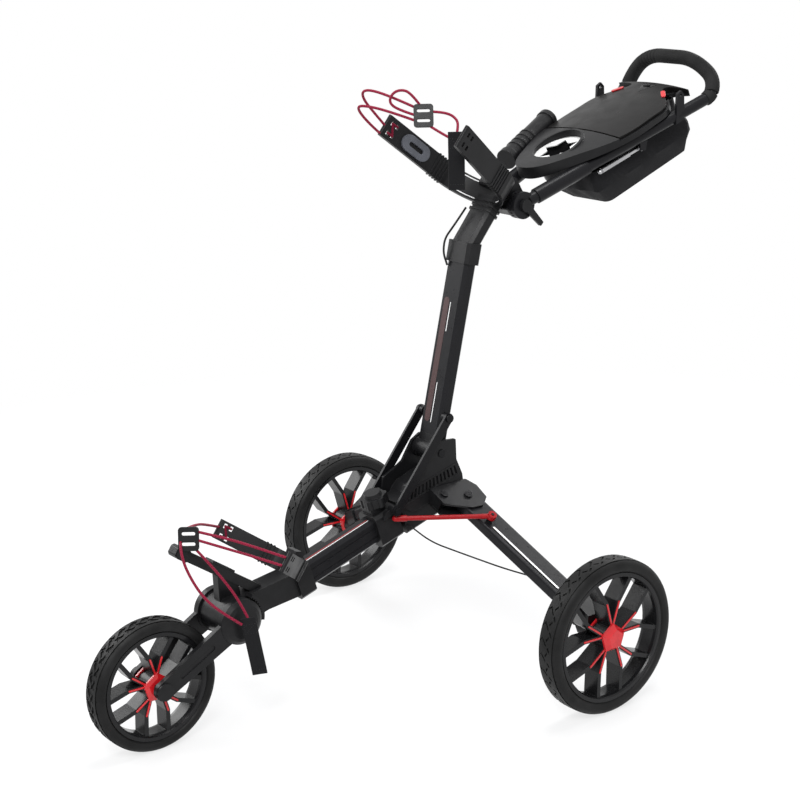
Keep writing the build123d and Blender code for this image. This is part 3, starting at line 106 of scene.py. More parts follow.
# Name, route, real length, body, far end, lay, and the pieces on the cord
CORDS = [
    ("upper_bungee_far_a", UPPER_FAR_A, 0.210, "mast", "fitting", "loose", ["upper_clip"]),
    ("upper_bungee_far_b", UPPER_FAR_B, 0.204, "mast", "fitting", "loose", ["upper_clip"]),
    ("upper_bungee_loop", UPPER_LOOP, 0.135, "mast", "fitting", "loose", ["upper_clip"]),
    ("upper_bungee_near_a", UPPER_NEAR_A, 0.088, "mast", "object", "loose", []),
    ("upper_bungee_near_b", UPPER_NEAR_B, 0.119, "mast", "object", "taut", []),
    ("lower_bungee_near_a", LOWER_NEAR_A, 0.169, "frame", "object", "taut", ["lower_clip"]),
    ("lower_bungee_near_b", LOWER_NEAR_B, 0.159, "frame", "object", "taut", []),
    ("lower_bungee_far", LOWER_FAR, 0.197, "frame", "object", "taut", []),
    ("lower_bungee_loop_a", LOWER_LOOP_A, 0.203, "frame", "object", "loose", []),
    ("lower_bungee_loop_b", LOWER_LOOP_B, 0.172, "frame", "object", "loose", []),
]
CORD_NODES = {"upper_bungee_far_a": ["upper_cord_far"], "upper_bungee_near_a": ["upper_cord_near"],
              "lower_bungee_near_a": ["lower_cord_near"], "lower_bungee_far": ["lower_cord_far"],
              "lower_bungee_loop_a": ["lower_cord_loop"]}

# Wheels: node end, centre and radii of the tyre's tread and seat
REAR_TYRE, REAR_SEAT, HALF_TRACK = 0.146, 0.122, 0.402
FRONT_TYRE, FRONT_SEAT, WHEELBASE = 0.12065, 0.100, 0.709
WHEELS = [("left", (HALF_TRACK, 0, REAR_TYRE), REAR_TYRE, REAR_SEAT),
          ("right", (-HALF_TRACK, 0, REAR_TYRE), REAR_TYRE, REAR_SEAT),
          ("front", (0, -WHEELBASE, FRONT_TYRE), FRONT_TYRE, FRONT_SEAT)]

# Webbing pulls
Pull = namedtuple("Pull", "top foot width")
UPPER_PULL = Pull(Vector((0.066, -0.057, 1.028)), Vector((0.066, -0.057, 0.922)), 0.030)
LOWER_PULL = Pull(Vector((0.077, -0.552, 0.226)), Vector((0.077, -0.533, 0.112)), 0.027)
PULL_FACING = Vector((0.8, -0.6, 0))

# Handle loop that the grip lies on, from the near arm to the loop's top, and the radii of its bends
ARM_ROOT = Vector((0.048, 0.112, 0.872))
ARM_TIP = Vector((0.114, 0.535, 1.037))
LOOP_SIDE = Vector((0.116, 0.563, 1.070))
LOOP_TOP = Vector((0.066, 0.556, 1.112))
LOOP_BENDS = (0.026, 0.044, 0.108)

# Console deck, which the pouch hangs from
DECK_AT = Vector((0, 0.173, 0.924))
DECK_TILT = radians(20.8)
LATCH_ALONG = 0.339
LATCH_UP = 0.0138

# Cradles: seat, tilt, inner radius and half angle of the back, wing tip, height of the wall
Cradle = namedtuple("Cradle", "seat tilt bow half_angle tip height")
UPPER_CRADLE = Cradle((0.080, 0.890), radians(40.0), 0.086, radians(66), (0.112, 0.211), 0.044)
LOWER_CRADLE = Cradle((-0.403, 0.261), radians(36.4), 0.058, radians(44), (0.111, 0.108), 0.038)
CRADLE_WALL = 0.009

# Lower tube, mast and leg, and how far their striped faces lie from their middles
TUBE_AT = Vector((0, -0.406, 0.234))
TUBE_TILT = radians(17)
MAST_AT = Vector((0, -0.077, 0.419))
MAST_LEAN = radians(13.4)
LEG_PIVOT = Vector((0.066, -0.046, 0.324))
LEG_SLOPE = radians(28.5)
LEG_SWEEP = radians(8.1)
TUBE_TOP, MAST_FRONT, LEG_TOP = 0.025, 0.014, 0.011


def placed(point):
    """A place given from the rear axle, in the cart's own frame."""
    return Vector((point[0], point[1] + AXLE_Y, point[2]))


def deck_point(x, along, up):
    """A place on the console's deck, in the cart's own frame."""
    c, s = cos(DECK_TILT), sin(DECK_TILT)
    return placed(DECK_AT + Vector((x, along * c - up * s, along * s + up * c)))


def mirrored(point):
    """The same place on the cart's other side."""
    return Vector((-point.x, point.y, point.z))


def turned_to(x_axis, y_axis, z_axis, at):
    """Frame with the given axes at a place."""
    return Matrix.Translation(at) @ Matrix((x_axis, y_axis, z_axis)).transposed().to_4x4()


# Selecting and finishing

def deselect():
    if bpy.context.object and bpy.context.object.mode != "OBJECT":
        bpy.ops.object.mode_set(mode="OBJECT")
    bpy.ops.object.select_all(action="DESELECT")


def only(obj):
    deselect()
    bpy.context.view_layer.objects.active = obj
    obj.select_set(True)


def edit(obj, mode="FACE"):
    only(obj)
    bpy.ops.object.mode_set(mode="EDIT")
    bpy.ops.mesh.select_mode(type=mode)


def leave():
    bpy.ops.object.mode_set(mode="OBJECT")


def pick(obj, kind, test):
    """Selects the faces, edges or verts of the edited mesh that pass the test, and counts them."""
    mesh = bmesh.from_edit_mesh(obj.data)
    for part in (mesh.faces, mesh.edges, mesh.verts):
        for item in part:
            item.select = False
    found = 0
    for item in getattr(mesh, kind):
        if test(item):
            item.select_set(True)
            found += 1
    mesh.select_flush_mode()
    bmesh.update_edit_mesh(obj.data)
    return found


def apply_place(obj):
    only(obj)
    bpy.ops.object.transform_apply(location=True, rotation=True, scale=True)


def apply_modifiers(obj):
    only(obj)
    for modifier in list(obj.modifiers):
        bpy.ops.object.modifier_apply(modifier=modifier.name)


def join(pieces):
    """Joins pieces into the first of them."""
    deselect()
    for piece in pieces:
        piece.select_set(True)
    bpy.context.view_layer.objects.active = pieces[0]
    bpy.ops.object.join()
    return pieces[0]


def put(obj, place):
    """Moves a piece from its own frame to its place on the cart."""
    obj.matrix_world = place
    apply_place(obj)


def wall(obj, thickness, offset=0):
    """Gives a sheet its thickness."""
    shell = obj.modifiers.new("wall", "SOLIDIFY")
    shell.thickness = thickness
    shell.offset = offset


def outward():
    """Turns all faces of the edited mesh outwards and leaves it."""
    bpy.ops.mesh.select_all(action="SELECT")
    bpy.ops.mesh.normals_make_consistent(inside=False)
    leave()


def smooth(obj, degrees):
    only(obj)
    bpy.ops.object.shade_smooth_by_angle(angle=radians(degrees))


def dress(obj, name, material, body, nodes=()):
    """Names a piece, gives it its finish and hangs it on its body."""
    obj.name = name
    obj.data.name = name
    obj.data.materials.clear()
    obj.data.materials.append(material)
    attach(obj, body)
    if nodes:
        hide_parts(*nodes)
    return obj


# Finishes

class Finish:
    """A Principled material under construction."""

    NOISE_LOW, NOISE_HIGH = 0.3, 0.7

    def __init__(self, name, colour, roughness, metallic=0.0, **sockets):
        self.material = bpy.data.materials.new(name)
        self.material.use_nodes = True
        self.nodes = self.material.node_tree.nodes
        self.links = self.material.node_tree.links
        self.shader = self.nodes["Principled BSDF"]
        self.shader.inputs["Base Color"].default_value = (*colour, 1)
        self.shader.inputs["Roughness"].default_value = roughness
        self.shader.inputs["Metallic"].default_value = metallic
        for socket, value in sockets.items():
            label = socket.replace("_", " ").title().replace("Ior", "IOR")
            self.shader.inputs[label].default_value = value
        self.colour = colour
        self.place = self.nodes.new("ShaderNodeTexCoord")
        self.normal = None

    def add(self, kind, **values):
        node = self.nodes.new(kind)
        for key, value in values.items():
            if hasattr(node, key):
                setattr(node, key, value)
            else:
                node.inputs[key].default_value = value
        return node

    def noise(self, scale, detail=3.0, stretch=(1, 1, 1)):
        mapping = self.add("ShaderNodeMapping", Scale=stretch)
        self.links.new(self.place.outputs["Object"], mapping.inputs["Vector"])
        node = self.add("ShaderNodeTexNoise", Scale=scale, Detail=detail)
        self.links.new(mapping.outputs["Vector"], node.inputs["Vector"])
        return node.outputs["Fac"]

    def range(self, value, low, high):
        """Spreads a noise's usual values from low to high."""
        node = self.add("ShaderNodeMapRange")
        for socket, number in (("From Min", self.NOISE_LOW), ("From Max", self.NOISE_HIGH),
                               ("To Min", low), ("To Max", high)):
            node.inputs[socket].default_value = number
        self.links.new(value, node.inputs["Value"])
        return node.outputs["Result"]

    def mottle(self, scale, share, value=None):
        """Varies the colour by a share of itself, lighter and darker."""
        value = value or self.noise(scale)
        node = self.add("ShaderNodeMix", data_type="RGBA")
        dark = [max(0.0, c * (1 - share)) for c in self.colour]
        light = [min(1.0, c * (1 + share)) for c in self.colour]
        node.inputs[6].default_value = (*dark, 1)
        node.inputs[7].default_value = (*light, 1)
        self.links.new(self.range(value, 0, 1), node.inputs[0])
        self.links.new(node.outputs[2], self.shader.inputs["Base Color"])

    def patchy(self, scale, low, high):
        """Varies the roughness."""
        self.links.new(self.range(self.noise(scale), low, high), self.shader.inputs["Roughness"])

    def round_edges(self, radius):
        self.normal = self.add("ShaderNodeBevel", samples=4, Radius=radius).outputs["Normal"]
        self.links.new(self.normal, self.shader.inputs["Normal"])

    def bump(self, height, strength, depth):
        node = self.add("ShaderNodeBump", Strength=strength, Distance=depth)
        self.links.new(height, node.inputs["Height"])
        if self.normal:
            self.links.new(self.normal, node.inputs["Normal"])
        self.normal = node.outputs["Normal"]
        self.links.new(self.normal, self.shader.inputs["Normal"])

    def wave(self, scale, direction, coords, stretch=(1, 1, 1)):
        mapping = self.add("ShaderNodeMapping", Scale=stretch)
        self.links.new(self.place.outputs[coords], mapping.inputs["Vector"])
        node = self.add("ShaderNodeTexWave", wave_type="BANDS", bands_direction=direction, Scale=scale)
        self.links.new(mapping.outputs["Vector"], node.inputs["Vector"])
        return node.outputs["Fac"]

    def combine(self, first, second, operation="MULTIPLY"):
        node = self.add("ShaderNodeMath", operation=operation)
        self.links.new(first, node.inputs[0])
        self.links.new(second, node.inputs[1])
        return node.outputs[0]


def paint(name, colour, roughness, metallic):
    """Sprayed metal: fine flake, faint orange peel."""
    coat = Finish(name, colour, roughness, metallic, specular_ior_level=0.14, coat_weight=0.02,
                  coat_roughness=0.15)
    coat.mottle(1400, 0.22)
    coat.patchy(60, roughness - 0.06, roughness + 0.06)
    coat.round_edges(0.0009)
    coat.bump(coat.noise(520, 2), 0.06, 0.0004)
    return coat.material


def moulding(name, colour, roughness, grain=900, depth=0.18, shine=0.18):
    """Injection-moulded plastic with a spark-eroded grain."""
    skin = Finish(name, colour, roughness, specular_ior_level=shine)
    skin.mottle(45, 0.16)
    skin.patchy(30, roughness - 0.07, roughness + 0.07)
    skin.round_edges(0.0010)
    skin.bump(skin.noise(grain, 4), depth, 0.0004)
    return skin.material


def plated(name, colour):
    """Plated steel with fine drawn lines."""
    metal = Finish(name, colour, 0.3, 1.0)
    metal.mottle(30, 0.12)
    metal.patchy(240, 0.22, 0.40)
    metal.round_edges(0.0006)
    metal.bump(metal.noise(300, 2, (1, 8, 8)), 0.08, 0.0003)
    return metal.material


def foam_rubber(name, colour, roughness, pores, depth):
    """Closed-cell foam: matt, pored, with a dusty bloom."""
    foam = Finish(name, colour, roughness, specular_ior_level=0.14)
    foam.mottle(22, 0.35)
    foam.patchy(50, roughness - 0.08, roughness + 0.08)
    foam.bump(foam.noise(pores, 5), depth, 0.0006)
    return foam.material


def woven(name, colour, threads, coords="Object"):
    """Plain woven cloth: two crossed sets of threads and a soft sheen."""
    cloth = Finish(name, colour, 0.82, specular_ior_level=0.14, sheen_weight=0.05, sheen_roughness=0.45)
    warp = cloth.wave(threads, "X", coords)
    weft = cloth.wave(threads, "Y", coords)
    weave = cloth.combine(warp, weft)
    cloth.mottle(threads, 0.16, weave)
    cloth.bump(weave, 0.20, 0.0005)
    cloth.bump(cloth.noise(38, 3), 0.30, 0.0020)
    return cloth.material


def braided(name, colour, length, diameter):
    """Braided cover of a bungee: two crossing sets of strands along the cord."""
    cord = Finish(name, colour, 0.62, specular_ior_level=0.2, sheen_weight=0.06, sheen_roughness=0.40)
    stretch = (length / (pi * diameter), 1, 1)
    left = cord.wave(1.6, "DIAGONAL", "UV", stretch)
    right = cord.wave(1.6, "DIAGONAL", "UV", (stretch[0], -1, 1))
    braid = cord.combine(left, right, "MAXIMUM")
    cord.mottle(1, 0.28, braid)
    cord.bump(braid, 0.5, 0.0005)
    return cord.material


def plain_line(name, colour):
    """Printed line or thread."""
    ink = Finish(name, colour, 0.5)
    ink.mottle(300, 0.06)
    ink.bump(ink.noise(700), 0.05, 0.0002)
    return ink.material


class CartColours(bpy.types.PropertyGroup):
    """Colours of the cart's finishes."""

    tube: FloatVectorProperty(name="Tubes", description="Satin paint of the tubes", subtype="COLOR",
                              default=(0.0095, 0.0095, 0.0108), min=0, max=1)
    plastic: FloatVectorProperty(name="Mouldings", description="Black nylon mouldings", subtype="COLOR",
                                 default=(0.0085, 0.0085, 0.0092), min=0, max=1)
    lid: FloatVectorProperty(name="Lid", description="Console lid", subtype="COLOR",
                             default=(0.0070, 0.0066, 0.0066), min=0, max=1)
    steel: FloatVectorProperty(name="Steel", description="Plated bolts and axles", subtype="COLOR",
                               default=(0.42, 0.42, 0.43), min=0, max=1)
    rubber: FloatVectorProperty(name="Tyres", description="Foam tyres", subtype="COLOR",
                                default=(0.0100, 0.0100, 0.0100), min=0, max=1)
    red: FloatVectorProperty(name="Red", description="Hubs, rods and tabs", subtype="COLOR",
                             default=(0.54, 0.011, 0.016), min=0, max=1)
    cord: FloatVectorProperty(name="Bungees", description="Braided cover of the bungees", subtype="COLOR",
                              default=(0.185, 0.006, 0.026), min=0, max=1)
    pad: FloatVectorProperty(name="Pads", description="Pads of the upper cradle", subtype="COLOR",
                             default=(0.085, 0.090, 0.105), min=0, max=1)
    liner: FloatVectorProperty(name="Cup", description="Cup liner", subtype="COLOR",
                               default=(0.72, 0.72, 0.71), min=0, max=1)
    cloth: FloatVectorProperty(name="Cloth", description="Pouch and webbing", subtype="COLOR",
                               default=(0.010, 0.010, 0.011), min=0, max=1)
    floor: FloatVectorProperty(name="Floor", description="Floor under the cart", subtype="COLOR",
                               default=(0.86, 0.86, 0.86), min=0, max=1)


class CartSizes(bpy.types.PropertyGroup):
    """Sizes of the pieces made here."""

    cord: FloatProperty(name="Bungee", description="Diameter of the bungees", unit="LENGTH",
                        default=0.005)
    tyre_width: FloatProperty(name="Tyre width", description="Across the sidewalls", unit="LENGTH",
                              default=0.048)
    tread_width: FloatProperty(name="Tread width", description="Flat part of the tread", unit="LENGTH",
                               default=0.032)
    sipe_depth: FloatProperty(name="Sipe depth", description="Depth of the tread cuts", unit="LENGTH",
                              default=0.0022)
    tread_pitch: IntProperty(name="Tread pitch", description="Columns of tread round a tyre",
                             default=96, min=24)
    grip_radius: FloatProperty(name="Grip", description="Radius of the foam grip", unit="LENGTH",
                               default=0.0144)
    grip_pitch: FloatProperty(name="Grip grooves", description="Pitch of the ring grooves", unit="LENGTH",
                              default=0.0090)
    webbing: FloatProperty(name="Webbing", description="Thickness of the webbing", unit="LENGTH",
                           default=0.0026)


def colours():
    return bpy.context.scene.cart_colours


def sizes():
    return bpy.context.scene.cart_sizes


def finish(name):
    """A finish by its name, made on first use."""
    if name in bpy.data.materials and bpy.data.materials[name].get("cart"):
        return bpy.data.materials[name]
    c = colours()
    makers = {
        "tube_paint": lambda: paint("tube_paint", c.tube, 0.32, 0.1),
        "link_paint": lambda: paint("link_paint", [v * 0.7 for v in c.tube], 0.30, 0.1),
        "red_paint": lambda: paint("red_paint", [v * 0.55 for v in c.red], 0.30, 0.0),
        "nylon": lambda: moulding("nylon", c.plastic, 0.36),
        "lid_plastic": lambda: moulding("lid_plastic", c.lid, 0.34, 1300, 0.10, 0.13),
        "rim_plastic": lambda: moulding("rim_plastic", c.plastic, 0.24, 1100, 0.08, 0.22),
        "red_plastic": lambda: moulding("red_plastic", c.red, 0.17, 700, 0.04, 0.5),
        "pad_plastic": lambda: moulding("pad_plastic", c.pad, 0.30, 900, 0.10, 0.4),
        "liner_plastic": lambda: moulding("liner_plastic", c.liner, 0.42, 800, 0.08),
        "steel": lambda: plated("steel", c.steel),
        "tyre_foam": lambda: foam_rubber("tyre_foam", c.rubber, 0.48, 420, 0.16),
        "grip_foam": lambda: foam_rubber("grip_foam", [v * 1.2 for v in c.rubber], 0.80, 800, 0.40),
        "cable_sheath": lambda: foam_rubber("cable_sheath", c.rubber, 0.5, 900, 0.08),
        "pouch_cloth": lambda: woven("pouch_cloth", c.cloth, 330),
        "webbing": lambda: woven("webbing", c.cloth, 260, "UV"),
        # The latch takes half the mouldings' colour: painted shade of the recess that it sits in
        "latch_plastic": lambda: moulding("latch_plastic", [v * 0.5 for v in c.plastic], 0.22, 900, 0.05),
        "lace": lambda: woven("lace", [v * 0.8 for v in c.cord], 700),
        "thread": lambda: plain_line("thread", [v * 2.2 for v in c.cloth]),
        "white_line": lambda: plain_line("white_line", (0.80, 0.80, 0.79)),
        "maroon_band": lambda: plain_line("maroon_band", [v * 0.05 for v in c.red]),
        "red_line": lambda: plain_line("red_line", [v * 0.35 for v in c.red]),
    }
    if name not in makers:
        raise ValueError(f"no finish named {name}")
    material = makers[name]()
    material["cart"] = True
    return material


# Finish of each of the frame's material slots
SLOT_FINISH = {
    "tube": "tube_paint", "plastic": "nylon", "lid": "lid_plastic", "steel": "steel", "link": "link_paint",
    "tyre": "tyre_foam", "rim": "rim_plastic", "red": "red_plastic", "red_rod": "red_paint",
    "pad": "pad_plastic", "liner": "liner_plastic", "foam": "grip_foam", "pouch_cloth": "pouch_cloth",
    "webbing": "webbing", "cord": "cable_sheath", "cable": "cable_sheath",
}


class CartStage(bpy.types.Operator):
    """Camera, pale floor and soft studio light"""

    bl_idname = "cart.stage"
    bl_label = "Stage"

    # Name, place, size and power of each lamp
    LAMPS = [("key", (2.4, -2.3, 3.3), 1.5, 120), ("fill", (-3.0, -1.2, 1.8), 1.8, 60),
             ("rim", (-0.6, 3.2, 2.6), 1.6, 70), ("top", (0.2, 0.1, 4.0), 1.4, 70)]
    AIM = Vector((0, 0, 0.55))
    # Distances over which the floor fades to white, and the white's share at both
    FADE = (("From Min", 0.9), ("From Max", 2.2), ("To Min", 0.74), ("To Max", 1.0))

    def execute(self, context):
        self.camera(context)
        self.floor()
        self.lights(context)
        context.scene.view_settings.view_transform = "Standard"
        return {"FINISHED"}

    def camera(self, context):
        deselect()
        bpy.ops.object.camera_add()
        camera = context.object
        camera.name = "photo_camera"
        back = Vector((sin(VIEW_AZIMUTH) * cos(VIEW_ELEVATION), -cos(VIEW_AZIMUTH) * cos(VIEW_ELEVATION),
                       sin(VIEW_ELEVATION)))
        right = (-back).cross(Vector((0, 0, 1))).normalized()
        up = right.cross(-back)
        turned_right = right * cos(VIEW_ROLL) + up * sin(VIEW_ROLL)
        turned_up = up * cos(VIEW_ROLL) - right * sin(VIEW_ROLL)
        camera.matrix_world = turned_to(turned_right, turned_up, back, VIEW_FROM)
        camera.data.lens = VIEW_LENS
        camera.data.sensor_width = SENSOR
        camera.data.clip_end = 60
        context.scene.camera = camera

    def floor(self):
        deselect()
        bpy.ops.mesh.primitive_plane_add(size=30)
        floor = bpy.context.object
        floor.name = "floor"
        ground = bpy.data.materials.new("pale_floor")
        ground.use_nodes = True
        nodes, links = ground.node_tree.nodes, ground.node_tree.links
        shader = nodes["Principled BSDF"]
        shader.inputs["Base Color"].default_value = (*colours().floor, 1)
        shader.inputs["Roughness"].default_value = 0.9
        shader.inputs["Specular IOR Level"].default_value = 0.1
        glow = nodes.new("ShaderNodeEmission")
        glow.inputs["Color"].default_value = (1, 1, 1, 1)
        place = nodes.new("ShaderNodeTexCoord")
        away = nodes.new("ShaderNodeVectorMath")
        away.operation = "LENGTH"
        fade = nodes.new("ShaderNodeMapRange")
        for socket, number in self.FADE:
            fade.inputs[socket].default_value = number
        share = nodes.new("ShaderNodeMath")
        share.operation = "MULTIPLY"
        mix = nodes.new("ShaderNodeMixShader")
        links.new(place.outputs["Object"], away.inputs[0])
        links.new(away.outputs["Value"], fade.inputs["Value"])
        links.new(self.seen(nodes, links), share.inputs[0])
        links.new(fade.outputs["Result"], share.inputs[1])
        links.new(share.outputs[0], mix.inputs[0])
        links.new(shader.outputs[0], mix.inputs[1])
        links.new(glow.outputs[0], mix.inputs[2])
        links.new(mix.outputs[0], nodes["Material Output"].inputs["Surface"])
        floor.data.materials.append(ground)

    def seen(self, nodes, links):
        """1 for the rays that should meet white: from the camera, a reflection or glass."""
        path = nodes.new("ShaderNodeLightPath")
        value = path.outputs["Is Camera Ray"]
        for ray in ("Is Glossy Ray", "Is Transmission Ray"):
            either = nodes.new("ShaderNodeMath")
            either.operation = "MAXIMUM"
            links.new(value, either.inputs[0])
            links.new(path.outputs[ray], either.inputs[1])
            value = either.outputs[0]
        return value

    def lights(self, context):
        for name, place, size, power in self.LAMPS:
            deselect()
            bpy.ops.object.light_add(type="AREA", location=place)
            lamp = context.object
            lamp.name = "light_" + name
            lamp.data.energy = power
            lamp.data.size = size
            lamp.rotation_euler = (self.AIM - Vector(place)).to_track_quat("-Z", "Y").to_euler()
        self.world(context)

    def world(self, context):
        world = bpy.data.worlds.new("studio")
        world.use_nodes = True
        nodes, links = world.node_tree.nodes, world.node_tree.links
        soft = nodes["Background"]
        soft.inputs["Color"].default_value = (0.93, 0.95, 1.0, 1)
        soft.inputs["Strength"].default_value = 0.45
        white = nodes.new("ShaderNodeBackground")
        white.inputs["Color"].default_value = (1, 1, 1, 1)
        mix = nodes.new("ShaderNodeMixShader")
        links.new(self.seen(nodes, links), mix.inputs[0])
        links.new(soft.outputs[0], mix.inputs[1])
        links.new(white.outputs[0], mix.inputs[2])
        links.new(mix.outputs[0], nodes["World Output"].inputs["Surface"])
        context.scene.world = world


class CartBungees(bpy.types.Operator):
    """Braided bungees of both cradles, each on one smooth line"""

    bl_idname = "cart.bungees"
    bl_label = "Bungees"

    def execute(self, context):
        thick = sizes().cord
        for name, route, length, body, far_end, lay, clips in CORDS:
            line = bpy.data.curves.new(name, "CURVE")
            line.dimensions = "3D"
            line.resolution_u = 10
            line.bevel_depth = thick / 2
            line.bevel_resolution = 4
            line.use_fill_caps = True
            spline = line.splines.new("NURBS")
            spline.points.add(len(route) - 1)
            for point, place in zip(spline.points, route):
                point.co = (*placed(place), 1)
            spline.order_u = 3
            spline.use_endpoint_u = True
            cord = bpy.data.objects.new(name, line)
            context.scene.collection.objects.link(cord)
            material = braided(name + "_cover", colours().cord, length, thick)
            dress(cord, name, material, body, CORD_NODES.get(name, ()))
        return {"FINISHED"}


class CartFinishes(bpy.types.Operator):
    """Procedural finishes on every piece that comes with the frame"""

    bl_idname = "cart.finishes"
    bl_label = "Finishes"

    def execute(self, context):
        for name, node in NODES.items():
            material = finish(SLOT_FINISH[SLOT_OF[name]])
            node.data.materials.clear()
            node.data.materials.append(material)
        return {"FINISHED"}


class CartTyres(bpy.types.Operator):
    """Foam tyres with rows of short slanted sipes"""

    bl_idname = "cart.tyres"
    bl_label = "Tyres"

    SLANT = 0.62
    SIPE_WIDTH = 0.0017
    SIPE_AREA = 0.00003
    TREAD_DEPTH = 0.003

    def execute(self, context):
        for end, centre, radius, seat in WHEELS:
            tyre = self.ring(context, radius, seat)
            self.cut_sipes(tyre, radius)
            tyre.location = placed(centre)
            apply_place(tyre)
            smooth(tyre, 32)
            dress(tyre, "foam_tyre_" + end, finish("tyre_foam"), "wheel_" + end, ["tyre_" + end])
        return {"FINISHED"}

    def rows(self, radius, seat):
        """(across, radius, zig-zag) of each ring of the tyre's skin, from one seat edge to the other."""
        half = sizes().tyre_width / 2
        flat = sizes().tread_width / 2
        side = [(half - 0.005, seat, 0), (half - 0.001, seat + 0.003, 0), (half, seat + 0.007, 0),
                (half, radius - 0.010, 0), (half - 0.0015, radius - 0.0055, 0),
                (flat + 0.002, radius - 0.0015, 0)]
        tread = [(flat, radius - 0.0006, -1), (flat * 0.62, radius - 0.0001, 1), (flat * 0.3, radius, 1),
                 (0, radius, -1)]
        near = side + tread
        far = [(-x, r, zig) for x, r, zig in reversed(near[:-1])]
        return near + far

    def ring(self, context, radius, seat):
        columns = sizes().tread_pitch
        rows = self.rows(radius, seat)
        deselect()
        bpy.ops.mesh.primitive_circle_add(vertices=columns, radius=rows[0][1], rotation=(0, pi / 2, 0))
        tyre = context.object
        tyre.location.x = rows[0][0]
        apply_place(tyre)
        edit(tyre, "EDGE")
        bpy.ops.mesh.select_all(action="SELECT")
        x, r = rows[0][:2]
        turn = self.SLANT * 2 * pi / columns
        for across, size, zig in rows[1:]:
            bpy.ops.mesh.extrude_edges_move(TRANSFORM_OT_translate={"value": (across - x, 0, 0)})
            bpy.ops.transform.resize(value=(1, size / r, size / r), center_override=(across, 0, 0))
            if zig:
                bpy.ops.transform.rotate(value=zig * turn, orient_axis="X", center_override=(across, 0, 0))
            x, r = across, size
        pick(tyre, "edges", lambda e: e.is_boundary)
        bpy.ops.mesh.bridge_edge_loops()
        outward()
        return tyre

    def cut_sipes(self, tyre, radius):
        """Bevels every third slanted edge of the tread into a narrow face and sinks it."""
        columns = sizes().tread_pitch
        flat = sizes().tread_width / 2
        tread = radius - self.TREAD_DEPTH
        edit(tyre, "EDGE")

        def slanted(edge):
            a, b = edge.verts
            middle = (a.co + b.co) / 2
            if abs(a.co.x - b.co.x) < 0.001 or middle.yz.length < tread:
                return False
            row = 0 if abs(middle.x) < flat * 0.3 else 1
            side = 0 if middle.x > 0 else 1
            column = round((atan2(middle.z, middle.y) / (2 * pi)) * columns)
            return (column + row + 2 * side) % 3 == 0

        def narrow(face):
            return face.calc_area() < self.SIPE_AREA and face.calc_center_median().yz.length > tread

        if not pick(tyre, "edges", slanted):
            raise RuntimeError("no tread edges to cut")
        bpy.ops.mesh.bevel(offset=self.SIPE_WIDTH, segments=1, affect="EDGES")
        bpy.ops.mesh.select_mode(type="FACE")
        pick(tyre, "faces", narrow)
        bpy.ops.mesh.extrude_region_shrink_fatten(TRANSFORM_OT_shrink_fatten={"value": -sizes().sipe_depth})
        leave()


